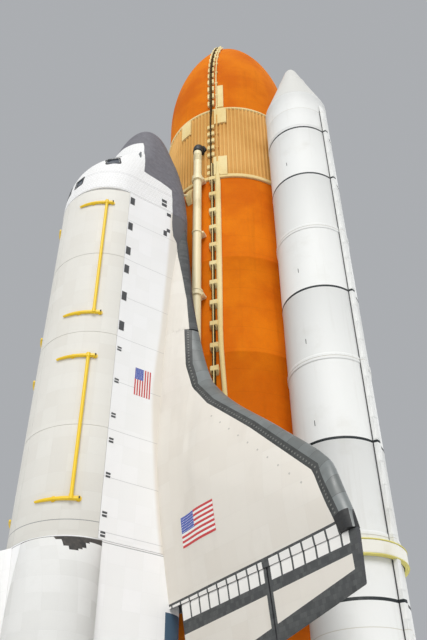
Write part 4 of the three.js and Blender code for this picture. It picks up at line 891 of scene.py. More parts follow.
# %% Booster paint
BLACK_RINGS = (531.5, 691.5, 1011.5, 1331.5, 1582)
PALE_SEAMS = (395, 460, 851.5, 1171.5, 1491.5, 1620, 1740)


def booster_paint():
    look = Look("booster_paint", (228, 229, 227), 0.6)
    x, _, z = look.split(look.node("TexCoord", "Object", {}))
    station = look.scaled(z, -1 / INCH, FLOOR_STATION - TANK_TO_BOOSTER)
    out = look.times(look.math("ABSOLUTE", x), 1 / INCH)
    place = look.place()
    color = look.wear((230, 231, 229), place, 1.1, (210, 209, 202))
    color = look.mix(look.between(look.noise(look.place(scale=(6, 6, 0.3)), 1.0, 4.0), 0.55, 0.8, 0, 0.35),
                     color, (205, 203, 196))
    # The cone is painted a little darker than the case: painted shade, as the light falls more directly on
    # its slope.
    cone = look.under(station, 393)
    color = look.mix(look.times(cone, 0.7), color, (206, 205, 199))
    dark, seams = None, None
    for at in BLACK_RINGS:
        ring = look.band(station, at - 2.4, at + 2.4)
        dark = ring if dark is None else look.plus(dark, ring)
    for at in PALE_SEAMS:
        ring = look.band(station, at - 0.6, at + 0.6)
        seams = ring if seams is None else look.plus(seams, ring)
    color = look.mix(look.times(seams, 0.45), color, (176, 166, 140))
    outboard = look.over(out, BOOSTER_OUT - 52)
    color = look.mix(look.times(dark, outboard), color, (26, 34, 36))
    grain = look.noise(place, 14, 5.0)
    height = look.scaled(seams, -0.6, look.times(grain, 0.5))
    return look.done(color, look.between(grain, 0.3, 0.7, 0.56, 0.7), look.bump(height, 0.0025, 0.6))


white_steel = booster_paint()
pale_ring = painted("pale_ring_paint", (236, 234, 224), (206, 198, 170), 0.45)
sealant = painted("yellow_sealant", (226, 216, 120), (196, 180, 84), 0.55)
charred = painted("charred_lining", (40, 38, 36), (24, 22, 21), 0.8)

# %% [markdown]
# ## The boosters
# A booster is nearly all turned: nose cap, cone, skirt and case sections are rings about one axis. Joints
# between the cases are raised a little and carry a ring of pins. What isn't round is added to it: the thrust
# post, the small motors that push the booster clear, the cable tunnel and the struts.

# %% Booster bodies
CASE = 73.0
FIELD_JOINTS = (851.5, 1171.5, 1491.5)
FACTORY_SEAMS = (691.5, 1011.5, 1331.5, 1651.5)
MOTOR_START, MOTOR_END, STAND = 523, 1837, 1930.6
SKIRT_RADIUS = 106


def booster_place(side):
    return lambda x, y, station: in_booster(side, x, y, station)


def peg_ring(place, radius, station, count, size, tone=0):
    """Short pegs in a ring, which stand a little out of the skin; size is their half width and rise."""
    turn = 2 * pi * np.arange(count) / count
    middle = place(radius * cos(turn), radius * sin(turn), station)
    out = stack([cos(turn), sin(turn), 0 * turn], -1)
    side = stack([-sin(turn), cos(turn), 0 * turn], -1)
    return blocks(middle, side * size[0] * INCH, out * size[1] * INCH, array([0, 0, size[0] * INCH]), tone)


for word, side in SIDES:
    place = booster_place(side)
    cone = [[0, 200], [4, 200.4], [7.4, 201.8], [10.2, 204.4], [12.6, 208.6], [15, 213]]
    cone += [[34, 273], [35.2, 273.6], [35.2, 277.4], [35.4, 278.2], [72.2, 391], [CASE - 0.2, 393.6]]
    cone += [[CASE - 1.2, 394.6], [0, 394.6]]
    nose = [turned(place, cone, 96, [2 if station < 213 else 0 for _, station in cone])]
    for y in (-21, -7, 7, 21):
        mouth = [place(-side * x, y, s) for x, s in ((46, 326), (57.5, 345.5), (57, 345), (54, 340))]
        nose.append(pipe(mouth, array([4.6, 4.6, 3.8, 3.4]) * INCH, 20))
        nose.append(pipe([place(-side * 56.6, y, 344.4), place(-side * 57.2, y, 345.2)], 3.7 * INCH, 20, 1))
    piece(f"booster_{word}_nose_cone", nose, [white_steel, charred, pale_ring], "booster_paint",
          f"booster_{word}_nose")

    skirt_rows = [[0, 395.4], [CASE - 0.8, 395.4], [CASE + 0.8, 396.4], [CASE + 0.9, 400], [CASE, 401.4]]
    skirt_rows += [[CASE, 455], [CASE + 0.4, 457], [CASE + 0.4, 463], [CASE, 465], [CASE, 518],
                   [CASE + 0.7, 519]]
    skirt_rows += [[CASE + 0.7, 522.6], [0, 522.6]]
    forward = [turned(place, skirt_rows, 96)]
    inner = BOOSTER_OUT - TANK_RADIUS - 4.6
    post = [place(-side * x, 0, 442.7) for x in (60, inner - 5, inner - 4.4, inner)]
    forward.append(pipe(post, array([6.6, 6.6, 7.4, 7.4]) * INCH, 32))
    forward.append(box(place(-side * 74, 0, 446), 3.6, 15, 17))
    for step in (-11, -4, 4, 11):
        forward.append(box(place(-side * 77.4, step, 446), 2.4, 0.8, 12))
    piece(f"booster_{word}_forward_shell", forward, white_steel, "booster_paint",
          f"booster_{word}_forward_skirt")

    case = [[0, MOTOR_START + 0.4], [CASE + 0.7, MOTOR_START + 0.4], [CASE + 0.7, 527], [CASE, 528.4]]
    for at in sorted(FIELD_JOINTS + FACTORY_SEAMS):
        if at in FIELD_JOINTS:
            case += [[CASE, at - 7.4], [CASE + 1.2, at - 6], [CASE + 1.5, at - 5], [CASE + 1.5, at - 0.5]]
            case += [[CASE + 1.1, at], [CASE + 1.5, at + 0.5], [CASE + 1.5, at + 5], [CASE, at + 6.6]]
        else:
            case += [[CASE, at - 3.4], [CASE + 0.5, at - 2.6], [CASE + 0.5, at + 2.6], [CASE, at + 3.4]]
    case += [[CASE, MOTOR_END - 0.4], [0, MOTOR_END - 0.4]]
    body = [turned(place, case, 128)]
    for at in FIELD_JOINTS[:2]:
        body.append(peg_ring(place, CASE + 1.4, at - 3, 60, (0.8, 0.35)))
    for at, turn in ((645, -75), (960, -75), (1130, -75), (1297, -75), (1400, -75)):
        x, y = side * CASE * cos(radians(turn)), CASE * sin(radians(turn))
        body.append(box(place(x, y, at), 0.5, 0.5, 5, 1))
    piece(f"booster_{word}_case", body, [white_steel, dark_metal], "booster_paint", f"booster_{word}_motor")

# %% [markdown]
# The aft attach ring is a pale box section with yellow sealant at its edges. Its three struts reach the
# tank. The tunnel for the cables stands on the outboard side, a low ridge with covers that overlap.

# %% Attach rings, struts and tunnels
ATTACH_RING, TUNNEL_ANGLE = 1511, 5.0


def ring_loops(place, inner, rows, count=96, tone=0):
    """A closed ring about an axis: out along rows of [radius, station] and back along the inner radius."""
    back = [[inner, rows[-1][1]], [inner, rows[0][1]]]
    return turned(place, [*rows, *back], count, tone, closed=True)


for word, side in SIDES:
    place = booster_place(side)
    top, bottom = ATTACH_RING - 10, ATTACH_RING + 10
    rim = [[CASE + 2.2, top], [CASE + 7.4, top + 0.2], [CASE + 8, top + 1], [CASE + 8, bottom - 1],
           [CASE + 7.4, bottom - 0.2], [CASE + 2.2, bottom]]
    band_parts = [ring_loops(place, CASE + 1.7, rim)]
    for at in (top - 1.0, bottom + 1.0):
        lip = [[CASE + 2.4, at - 1.2], [CASE + 8.4, at - 0.8], [CASE + 8.8, at], [CASE + 8.4, at + 0.8],
               [CASE + 2.4, at + 1.2]]
        band_parts.append(ring_loops(place, CASE + 1.7, lip, 96, [1] * 8))
    piece(f"booster_{word}_attach_band", band_parts, [pale_ring, sealant], "cream_paint",
          f"booster_{word}_attach_ring")
    struts = []
    for near, far in ((-52, -62), (52, 62), (-52, 46)):
        tank_side = math.sqrt((TANK_RADIUS - 1) ** 2 - far ** 2) - BOOSTER_OUT
        start, end = place(-side * 56, near, ATTACH_RING), place(side * tank_side, far, ATTACH_RING)
        struts.append(strut(start, end, 4.2, 1.25, 0.12))
    piece(f"booster_{word}_struts", struts, pale_ring, "cream_paint")

    turn = radians(TUNNEL_ANGLE)
    out = array([side * cos(turn), sin(turn)])
    across = array([-out[1], out[0]])
    shape = array([[-6, 0], [6, 0], [5.6, 2.4], [4.2, 5.6], [3.2, 6], [-3.2, 6], [-4.2, 5.6], [-5.6, 2.4]])
    marks = [[430, 0.15], [446, 1.0]]
    for at in np.arange(486, 1826, 40.0):
        marks += [[at - 1.0, 1.0], [at - 0.8, 1.08], [at + 0.8, 1.08], [at + 1.0, 1.0]]
    marks = array([*marks, [MOTOR_END - 4, 1.0]])
    reach = CASE + 1.7 + shape[:, 1] * marks[:, 1:]
    xy = reach[..., None] * out + shape[:, 0][None, :, None] * across
    tunnel = skin(place(xy[..., 0], xy[..., 1], marks[:, :1]))
    # Two thin dark tubes along the tunnel's foot are painted shadow: they stand for the shade in the gap
    # beside it.
    edges = []
    for offset in (-6.6, 6.6):
        edge = (CASE + 0.9) * out + offset * across
        edges.append(pipe([place(edge[0], edge[1], 452), place(edge[0], edge[1], MOTOR_END - 6)], 0.7 * INCH,
                          8, 1))
    piece(f"booster_{word}_tunnel_covers", joined(tunnel, *edges), [white_steel, dark_metal], "booster_paint",
          f"booster_{word}_tunnel")

# %% [markdown]
# ## The skirts and the nozzles
# The stack stands on the two flared skirts. Inside, rings and ribs stiffen the wall, and four hold-down
# posts carry the weight to the ground. The nozzle swivels in a flexible bearing: its outer ring tilts one
# way and the nozzle the other, so each is a piece of its own on its own body.

# %% Aft skirts and nozzles
NOZZLE_PIVOT = 1860

for word, side in SIDES:
    place = booster_place(side)
    wall = [[CASE - 3, MOTOR_END + 0.4], [CASE + 1.3, MOTOR_END + 0.4], [CASE + 1.5, MOTOR_END + 6]]
    wall += [[CASE + 2, MOTOR_END + 10], [82, 1866], [82.9, 1867], [82.9, 1870], [82.8, 1871], [93.6, 1900]]
    wall += [[94.6, 1901], [94.6, 1904], [95, 1905], [SKIRT_RADIUS - 4, STAND - 8], [SKIRT_RADIUS, STAND - 6]]
    wall += [[SKIRT_RADIUS, STAND], [SKIRT_RADIUS - 8, STAND], [SKIRT_RADIUS - 9, STAND - 8], [92.6, 1909]]
    wall += [[88.4, 1908], [87.6, 1903], [90.2, 1901], [80.2, 1874], [76.6, 1873], [75.6, 1868], [78, 1867]]
    wall += [[CASE - 3, MOTOR_END + 14]]
    tones = [1 if s in (1909, 1908, 1903, 1901, 1874, 1873, 1868) or r in (78, CASE - 3) else 0 for r,
             s in wall]
    parts = [turned(place, wall, 96, [*tones, tones[0]], closed=True)]
    for degrees in (30, 150, 210, 330):
        turn = radians(degrees)
        x, y = sin(turn), cos(turn)
        tall = [[81, 1859, 5.5], [87, 1875, 6.5], [94, 1897, 7.5], [100, 1915, 9.0], [101, 1925, 9.4],
                [101, STAND, 9.4]]
        loops = []
        for radius, station, half in tall:
            corners = array([[-1, -1], [1, -1], [1, 0.5], [0.6, 1], [-0.6, 1], [-1, 0.5]]) * half
            loops.append(place((radius - 2 + corners[:, 1] * 0.55) * x + corners[:, 0] * y,
                               (radius - 2 + corners[:, 1] * 0.55) * y - corners[:, 0] * x, station))
        parts.append(skin(array(loops)))
    for step in (-1.5, -0.5, 0.5, 1.5):
        turn = radians(90 + 16 * step)
        x, y = 85 * sin(turn) * side, 85 * cos(turn)
        ends = [place(x, y, s) for s in (1843, 1846, 1872, 1875)]
        parts.append(pipe(ends, array([4.5, 6.4, 6.4, 5.2]) * INCH, 24))
        parts.append(pipe([place(x, y, 1874.6), place(x, y, 1875.6)], 4 * INCH, 24, 1))
    piece(f"booster_{word}_skirt", parts, [white_steel, charred], "booster_paint",
          f"booster_{word}_aft_skirt")

    # Radius and distance behind the pivot, outside and then inside
    outer = [(24, -18), (32, -16), (37, -12), (40, -6), (41.6, 0), (42, 6), (44.8, 14), (48, 22), (49.4, 23)]
    outer += [(49.8, 26), (49.2, 27), (55, 42), (59.4, 52), (60, 53), (60, 56), (57, 56)]
    inner = [(51.6, 40), (45, 22), (40.4, 12), (36, 2), (31, -5), (26, -10), (24, -16)]
    wall = [(radius, NOZZLE_PIVOT + behind) for radius, behind in outer + inner]
    tones = [0] * (len(outer) - 1) + [1] * (len(inner) + 2)
    piece(f"booster_{word}_nozzle_bell", turned(place, wall, 72, tones, closed=True), [grey_metal, charred],
          "bare_metal", f"booster_{word}_nozzle", body=f"booster_{word}_nozzle")
    collar_rows = [[48.4, 1851], [53.6, 1851.2], [55, 1852.6], [55, 1859.4], [53.6, 1860.8], [48.4, 1861]]
    bearing = [ring_loops(place, 47.2, collar_rows, 72)]
    bearing.append(peg_ring(place, 55, 1856, 24, (1.1, 0.6)))
    piece(f"booster_{word}_bearing", bearing, dark_metal, "bare_metal", f"booster_{word}_nozzle_ring",
          body=f"booster_{word}_nozzle_ring")

# %% [markdown]
# ## Finishes of the orbiter
# Where the orbiter gets hottest it wears dark tiles, elsewhere white tiles and quilted blankets. Tiles are a
# brick pattern whose tones differ a little from tile to tile, with fine dark gaps that are also cut into the
# bump. Blankets have wide seams and fine stitches. Both follow the UV map, which is in metres.


# %% Tiles, blankets and carbon
TILE_GAP, BLANKET_GAP, STITCH = 0.0016, 0.0025, 0.0254


def tile_pattern(look, light, dark, size=0.085):
    """The colour and the height of a field of tiles."""
    tone, gaps = look.bricks(look.place("UV"), size, size, TILE_GAP, (light, dark), 0.5)
    spots = look.noise(look.place(), 5, 5.0)
    color = look.mix(look.between(spots, 0.5, 0.8, 0, 0.35), tone, dark)
    color = look.mix(look.times(gaps, 0.5), color, tuple(0.5 * c for c in dark))
    return color, look.math("SUBTRACT", 1.0, gaps)


def blanket_pattern(look, light, dark, wide=0.36, high=0.38):
    """The colour and the height of quilted blankets: seams between them and stitches across each."""
    place = look.place("UV")
    tone, gaps = look.bricks(place, wide, high, BLANKET_GAP, (light, dark))
    _, threads = look.bricks(place, STITCH, STITCH, 0.002, ((0, 0, 0), (0, 0, 0)))
    puff = look.noise(look.place(), 9, 4.0)
    color = look.mix(look.between(puff, 0.45, 0.8, 0, 0.3), tone, dark)
    color = look.mix(look.times(gaps, 0.08), color, tuple(0.62 * c for c in dark))
    height = look.scaled(gaps, -1.2, look.scaled(threads, -0.35, puff))
    return color, height


WHITE, WHITE_SHADE = (242, 242, 242), (238, 238, 237)
WARM, WARM_SHADE = (226, 221, 212), (222, 216, 206)
BLACK, BLACK_SHADE = (66, 67, 70), (50, 51, 54)


def plain_tiles(name, light, dark, size=0.085, roughness=0.6):
    look = Look(name, light, roughness)
    color, height = tile_pattern(look, light, dark, size)
    return look.done(color, None, look.bump(height, 0.0015, 0.5))


def plain_blanket(name, light, dark):
    look = Look(name, light, 0.75)
    color, height = blanket_pattern(look, light, dark)
    return look.done(color, None, look.bump(height, 0.003, 0.5))


black_tiles = plain_tiles("black_tiles", BLACK, BLACK_SHADE, 0.0762, 0.45)
white_tiles = plain_tiles("white_tiles", WHITE, WHITE_SHADE)
nose_carbon = painted("nose_carbon", (118, 117, 122), (92, 91, 96), 0.42)
black_seal = painted("black_seal", (34, 35, 36), (22, 22, 23), 0.6)

# %% [markdown]
# ## The hull
# The orbiter's body is described by a short table of cross sections. Each has a flat bottom, a rounded lower
# corner, a wall and an elliptical crown. Between the table's stations the sizes run along smooth curves, so
# that the nose swells without creases, and every outline is cut into the same number of points.

# %% Hull sections
# Columns: station, half width, half width at the crown's foot, top, bottom, crown's foot, corner share
HULL = [[238, 8, 8, 342, 328, 335, 0.95], [242, 18, 18, 351, 319, 335, 0.95],
        [251, 30, 30, 361, 309, 336, 0.95], [264, 41, 41, 371, 301, 337, 0.95],
        [290, 55, 54, 384, 291, 339, 0.9], [330, 69, 68, 398, 283, 343, 0.8],
        [370, 79, 78, 410, 278, 348, 0.65], [405, 86, 84, 421, 274, 354, 0.5],
        [435, 91, 88, 448, 272, 366, 0.4], [465, 95, 91, 474, 270, 380, 0.32],
        [500, 99, 95, 490, 269, 396, 0.26], [540, 102, 98, 498, 268, 410, 0.22],
        [582, 104, 98.6, 500, 267, 417, 0.2], [1307, 105, 98.6, 500, 267, 417, 0.2],
        [1400, 105, 98, 500, 268, 417, 0.2], [1502, 105, 96, 494, 272, 417, 0.2]]
NOSE_CAP_END, BAY_START, BAY_END, HULL_END, SILL, BAY_AXIS = 264, 582, 1307, 1502, 417, 400


def half_outline(xo, grow=0.0):
    """Half of the hull's outline at stations xo, from the bottom's middle to the crown's, as y and z."""
    xo = np.asarray(xo, float)[:, None]
    wide, foot, top, bottom, side, corner = (eased(HULL, xo, k) for k in range(1, 7))
    wide, foot, top, bottom = wide + grow, foot + grow, top + grow, bottom - grow
    across, up = corner * wide, corner * (side - bottom)
    a = linspace(0, 1, 7)[:-1]
    t = angles(0, 90, 12)
    s = linspace(0, 1, 9)[1:-1]
    u = angles(0, 90, 25)
    ease = s * s * (3 - 2 * s)
    y = [(wide - across) * a, wide - across + across * sin(t), wide + (foot - wide) * ease, foot * cos(u)]
    z = [bottom + 0 * a, bottom + up - up * cos(t), bottom + up + (side - bottom - up) * s]
    return concatenate(y, 1), concatenate([*z, side + (top - side) * sin(u)], 1)


def hull_loops(xo, grow=0.0):
    """Closed outlines of the hull, round from the bottom's middle by starboard."""
    y, z = half_outline(xo, grow)
    y = concatenate([y, -y[:, -2:0:-1]], 1)
    z = concatenate([z, z[:, -2:0:-1]], 1)
    return in_orbiter(np.asarray(xo, float)[:, None], y, z)


def hull_body(xo, grow=0.0, tone=0):
    return skin(hull_loops(xo, grow), tone)


# %% [markdown]
# The windows are places in space: a middle, a size, and how far the pane turns out and leans back. Their
# outlines are rounded rectangles. To put a frame or a marking on the curved hull, we let the points of its
# outline fall onto the surface along one direction, which is what a ray cast gives us.

# %% Casting outlines onto a surface
from mathutils.bvhtree import BVHTree


def tree_of(shape):
    return BVHTree.FromPolygons(shape.points.tolist(), shape.quads.tolist())


def cast(tree, starts, way):
    """Where rays from the starts along one way meet the surface, and the surface's outward normals there."""
    starts = np.asarray(starts, float)
    hits, normals = np.zeros(starts.shape), np.zeros(starts.shape)
    for index in np.ndindex(starts.shape[:-1]):
        place, normal, _, _ = tree.ray_cast(starts[index].tolist(), list(way))
        if place is None:
            place, normal, _, _ = tree.find_nearest(starts[index].tolist())
        hits[index], normals[index] = place, normal
    normals *= np.where((normals * np.asarray(way)).sum(-1, keepdims=True) > 0, -1, 1)
    return hits, normals


def decal(tree, starts, way, lift=0.003, tone=0):
    """A thin closed sheet that lies on a surface, from a grid of starts that are cast onto it."""
    hits, normals = cast(tree, starts, way)
    return slab(hits + normals * lift, hits - normals * 0.004, tone)


def rounded(half, high, corner, count=5):
    """A rounded rectangle about the origin."""
    turn = angles(0, 90, count)
    points = []
    for k, (x, y) in enumerate(((1, 1), (-1, 1), (-1, -1), (1, -1))):
        around = turn + k * pi / 2
        points.append(stack([x * (half - corner) + corner * cos(around),
                                y * (high - corner) + corner * sin(around)], -1))
    return concatenate(points)


# Columns: out, station, water line, half width, half height, turn out, lean back
PANES = [[17, 428, 442, 14, 12, 12, 50], [49, 442, 440, 13.5, 12.5, 42, 53], [69, 476, 450, 15, 13, 73, 56]]


def pane_axes(pane, side):
    """The middle of a pane in the frame, and the ways across it, up its slope and out of it."""
    turn, lean = radians(pane[5]), radians(pane[6])
    out = array([side * sin(turn) * cos(pi / 2 - lean), -sin(pi / 2 - lean + 0.35),
                    cos(turn) * cos(pi / 2 - lean)])
    out /= np.linalg.norm(out)
    across = np.cross(out, (0, -1, 0))
    across /= np.linalg.norm(across)
    return in_orbiter(pane[1], side * pane[0], pane[2]), across, np.cross(across, out), out


def pane_outline(pane, side, grow=0.0):
    """The pane's outline, set off from the hull along its normal so that it can be cast back onto it."""
    middle, across, up, out = pane_axes(pane, side)
    loop = rounded(pane[3] + grow, pane[4] + grow, 4 + grow)
    return middle + (loop[:, :1] * across + loop[:, 1:] * up) * INCH, out


OVERHEAD = (20, 536, 10, 11)


def overhead_outline(side, grow=0.0):
    loop = rounded(OVERHEAD[2] + grow, OVERHEAD[3] + grow, 3 + grow)
    return in_orbiter(OVERHEAD[1] + loop[:, 1], side * OVERHEAD[0] + loop[:, 0], 490.0), array([0, -1.0, 0])


def all_windows(grow=0.0):
    for _, side in SIDES:
        for pane in PANES:
            yield pane_outline(pane, side, grow)
        yield overhead_outline(side, grow)


# %% [markdown]
# ## The forward fuselage
# It is made as a solid nose from which the cabin, the windows, the round hatch and the way to the payload
# bay are cut, so that there is a real room behind the glass. Its paintwork reads the stations: the dark
# tiles end on a stepped line low on the side, and thin joints run round it. The place of the name is bare.

# %% Forward fuselage
DARK_LIMIT = [[238, 440], [350, 440], [353, 377], [391, 379], [490, 386], [496, 346], [506, 318], [620, 316],
              [646, 313], [660, 304], [720, 297], [900, 284]]
CABIN = (412, 574)
HATCH_XO, HATCH_ZO, HATCH_RADIUS = 520, 345, 20


def fuselage_paint(name, joints, pattern, light=WHITE, shade=WHITE_SHADE, nose=False, ink=0.35, foot=()):
    look = Look(name, light, 0.62)
    xo, yo, zo = look.stations()
    color, height = pattern(look, light, shade)
    dark, _ = tile_pattern(look, *(((116, 115, 122), (104, 103, 110)) if nose else (BLACK, BLACK_SHADE)))
    if foot:
        over = look.math("SUBTRACT", look.curve(xo, 640, 1380, foot, 500), zo)
        color = look.mix(look.between(over, -2, 7, 0, 1), color, (224, 218, 208))
        dark = look.mix(look.between(xo, 579, 780, 0.85, 0), dark, (108, 107, 110))
    ragged = look.scaled(look.noise(look.place(), 2.2, 1.0), 3.0, zo)
    limit = look.curve(xo, 238, 900, DARK_LIMIT, 500)
    below = look.under(ragged, look.plus(limit, 1.5))
    for at in joints:
        line = look.band(xo, at - 0.55, at + 0.55)
        color = look.mix(look.times(line, ink), color, (128, 128, 130))
        height = look.scaled(line, -1.2, height)
    return look.done(look.mix(below, color, dark), None, look.bump(height, 0.002, 0.5))


forward_paint = fuselage_paint("forward_paint", (336, 400, 526, 530, 579), tile_pattern, nose=True)
cabin_lining = painted("cabin_lining", (116, 120, 122), (84, 86, 88), 0.7)
tip_steps = [[236.6, 0.12], [236.8, 0.4], [237.3, 0.72]]
tip_loops = hull_loops([238.0])[0]
tip_middle = in_orbiter(238, 0, 335)
cap_loops = [tip_middle + (tip_loops - tip_middle) * share + (0, 0, (238 - at) * INCH) for at,
             share in tip_steps]
cap_stations = concatenate([linspace(238, 250, 13), linspace(251.5, NOSE_CAP_END - 0.4, 9)])
piece("nose_cap_carbon", skin(concatenate([cap_loops, hull_loops(cap_stations)])), nose_carbon, "carbon_edge",
      "nose_cap")

stations = concatenate([linspace(NOSE_CAP_END, 420, 40), linspace(423, BAY_START - 0.4, 42)])
nose_shape = hull_body(stations)
hull_tree = tree_of(nose_shape)
cabin_stations = linspace(CABIN[0], CABIN[1], 12)
room = hull_loops(cabin_stations, -6)
floor_y = in_orbiter(0, 0, 316)[1]
room[..., 1] = np.minimum(room[..., 1], floor_y)
cutters = [skin(room)]
for outline, out in all_windows():
    cutters.append(skin(stack([outline + out * 0.5, outline - out * 0.25])))
hole_turn = full_turn(48)


def hatch_ring(radius, yo):
    return in_orbiter(HATCH_XO + radius * cos(hole_turn), yo, HATCH_ZO + radius * sin(hole_turn))


cutters.append(skin(stack([hatch_ring(HATCH_RADIUS, -120), hatch_ring(HATCH_RADIUS, -80)])))
lock = [in_orbiter(at, 18 * cos(hole_turn), 355 + 18 * sin(hole_turn))
        for at in (CABIN[1] - 4, BAY_START + 6)]
cutters.append(skin(array(lock)))
forward = piece("forward_fuselage_shell", nose_shape, [forward_paint, cabin_lining], "white_tile",
                "forward_fuselage")
carve(forward, joined(*(Shape(c.points, c.quads, c.uv, c.tone + 1) for c in cutters)))

frames = []
glass_panes = []
for outline, out in all_windows(0.4):
    hits, normals = cast(hull_tree, outline + out * 0.4, -out)
    wide = outline.mean(0) + (outline - outline.mean(0)) * 1.24
    far, far_normals = cast(hull_tree, wide + out * 0.4, -out)
    mid = (hits + far) / 2
    ring = stack([hits - normals * 0.012, hits + normals * 0.006, mid + far_normals * 0.0075,
                     far + far_normals * 0.004, far - far_normals * 0.008])
    frames.append(grid(concatenate([ring, ring[:1]]), True))
    low = hits - normals * 0.022
    glass_panes.append(skin(stack([low, low - out * 0.008])))
piece("window_frames", frames, black_seal, "dark_tile")

glass = Look("window_glass", (52, 58, 68), 0.08)
glass_tint = glass.noise(glass.place(), 1.4)
glass.shader.inputs["Coat Weight"].default_value = 0.6
piece("window_glass", glass_panes, glass.done(glass.mix(glass_tint, (42, 48, 58), (84, 92, 104))),
      "dark_glass", "cabin_glass")

# %% [markdown]
# Inside the cabin a floor, seats and a console stand where they show through the panes and the hatch. The
# hatch is a thin plug with a small round window and a ring of bolts. It turns on its lower edge.

# %% Cabin and hatch
cabin_parts = [
    box(in_orbiter(494, 0, 392), 84, 1.5, 76),
    box(in_orbiter(446, 0, 412), 66, 12, 8),
    box(in_orbiter(446, 0, 412), 12, 15, 14),
]
for _, side in SIDES:
    cabin_parts.append(box(in_orbiter(486, side * 28, 408), 11, 4, 11))
    cabin_parts.append(box(in_orbiter(499, side * 28, 426), 11, 19, 3))
piece("cabin_deck_and_seats", cabin_parts, cabin_lining, "bare_metal")

plug = []
for radius, depth in ((0.01, 0), (4, 0), (4.01, -0.3), (5.4, -0.3), (5.41, 0), (12, 0), (17.6, 0),
                      (18.7, -0.5)):
    hits, normals = cast(hull_tree, hatch_ring(radius, -130), (1, 0, 0))
    plug.append(hits + normals * depth * INCH)
back = []
for radius in (18.7, 12, 0.01):
    hits, normals = cast(hull_tree, hatch_ring(radius, -130), (1, 0, 0))
    back.append(hits - normals * 2.8 * INCH)
hatch_tone = array([1, 1, 2, 2, 0, 0, 0, 2, 2, 2, 2])[:, None]
hatch_shape = grid(array(plug + back), True, hatch_tone)
hits, _ = cast(hull_tree, hatch_ring(15.5, -130)[::3], (1, 0, 0))
bolts = blocks(hits, array([0.004, 0, 0]), array([0, 0.009, 0]), array([0, 0, 0.009]), 2)
hatch_skin = fuselage_paint("hatch_paint", (), tile_pattern)
piece("crew_hatch_plug", joined(hatch_shape, bolts), [hatch_skin, glass.material, black_seal], "white_tile",
      "crew_hatch", body="crew_hatch")

# %% [markdown]
# ## The middle fuselage
# It is an open trough: an outer skin from sill to sill, and the round payload bay inside. Frames stand in
# the bay at each bulkhead, with a keel and wire trays between them.

# %% Middle fuselage and bay
BAY_RADIUS = 92
# Columns: station and height at which the cream blankets of the wing's root end on the side
ROOT_FOOT = [[640, 323], [721, 326], [791, 329.5], [852, 332], [907, 335], [969, 341], [1023, 345],
             [1060, 344], [1108, 341], [1160, 336], [1210, 331.5], [1272, 323], [1330, 313], [1380, 303]]
side_paint = fuselage_paint("side_paint", (660, 763, 855, 947, 1038, 1129, 1210, 1295), blanket_pattern,
                            foot=ROOT_FOOT)
mid_stations = linspace(BAY_START + 0.4, BAY_END - 0.4, 60)
y, z = half_outline(mid_stations)
walls = 6 + 12 + 7 + 1
y, z = y[:, :walls], z[:, :walls]
outer = in_orbiter(mid_stations[:, None], concatenate([y[:, ::-1], -y[:, 1:]], 1),
                   concatenate([z[:, ::-1], z[:, 1:]], 1))
count = outer.shape[1]
turn = angles(0, 180, count - 6)
trough_y = concatenate([[BAY_RADIUS] * 3, BAY_RADIUS * cos(turn), [-BAY_RADIUS] * 3])
trough_z = concatenate([[SILL, 411, 405], BAY_AXIS - BAY_RADIUS * sin(turn), [405, 411, SILL]])
inner = in_orbiter(mid_stations[:, None], trough_y, trough_z)
bay_lining = plain_blanket("bay_lining", (214, 208, 192), (198, 190, 172))
mid_shape = slab(outer, inner, 0, 1, 0)
mid_tree = tree_of(mid_shape)
piece("middle_fuselage_shell", mid_shape, [side_paint, bay_lining], "white_tile", "mid_fuselage")

bay_parts = []
frame_turn = angles(2, 178, 40)
radius, step = array([[BAY_RADIUS + 1, -2.2], [86.5, -2.2], [86.5, -0.9], [BAY_RADIUS - 1, -0.7],
                      [BAY_RADIUS - 1, 0.7], [86.5, 0.9], [86.5, 2.2], [BAY_RADIUS + 1, 2.2]]).T
for at in linspace(BAY_START + 8, BAY_END - 8, 14):
    loops = [in_orbiter(at + step, radius * cos(t), BAY_AXIS - radius * sin(t)) for t in frame_turn]
    bay_parts.append(skin(array(loops)))
for _, side in SIDES:
    bay_parts.append(box(in_orbiter(944, side * 88, 396), 3, 5, 358))
    bay_parts.append(box(in_orbiter(np.arange(600, 1300, 22.0), side * 87.5, 413), 4, 2.4, 2.4))
bay_parts.append(box(in_orbiter(944, 0, 310.5), 5, 3, 356))
for step in (-26, 26):
    bay_parts.append(pipe([in_orbiter(s, step, 315.5) for s in (590, 1000, 1299)], 2.2 * INCH, 14))
bay_metal = painted("bay_metal", (206, 204, 196), (170, 166, 156), 0.5, 0.2)
piece("bay_frames", bay_parts, bay_metal, "bare_metal")

# %% [markdown]
# ## The payload bay doors
# Each door is a curved panel from the sill to the middle of the crown. Outside it carries blankets, inside
# the silvery radiator panels with their tubes. Joints run across it where its sections meet. In the
# museum's hall each door is held by two yellow handling frames, which swing with it.

# %% Doors
DOOR_OUTER, DOOR_INNER, SEAM = 100, 94, 0.5
DOOR_JOINTS = (763, 947, 1129)
# The doors take a darker, slightly warmer copy of the hull's white: painted shade, for light that falls more
# on the sides than on the doors.
shaded_door_paint = fuselage_paint("shaded_door_paint", (1283,), blanket_pattern, (224, 222, 215), (219, 216, 208),
                            ink=0.85)
radiator = Look("radiator_silver", (206, 208, 210), 0.22, 0.75)
tubes = radiator.lines(radiator.split(radiator.place("UV"))[0], 0.048, 0.008)
radiator.done(radiator.mix(tubes, (208, 210, 212), (150, 152, 156)), None, radiator.bump(tubes, 0.002, 0.6))


def crown_sheet(stations, radii, steps, side, low=SILL + SEAM, high=SEAM / 2):
    """Points on circles about the bay's axis: rows down the stations and columns from the sill to the top."""
    radius = np.broadcast_to(np.asarray(radii, float), np.shape(stations))[:, None]
    first, last = np.arcsin((low - BAY_AXIS) / radius), np.arccos(high / radius)
    turn = first + (last - first) * linspace(0, 1, steps)
    return in_orbiter(np.asarray(stations, float)[:, None], side * radius * cos(turn),
                      BAY_AXIS + radius * sin(turn))


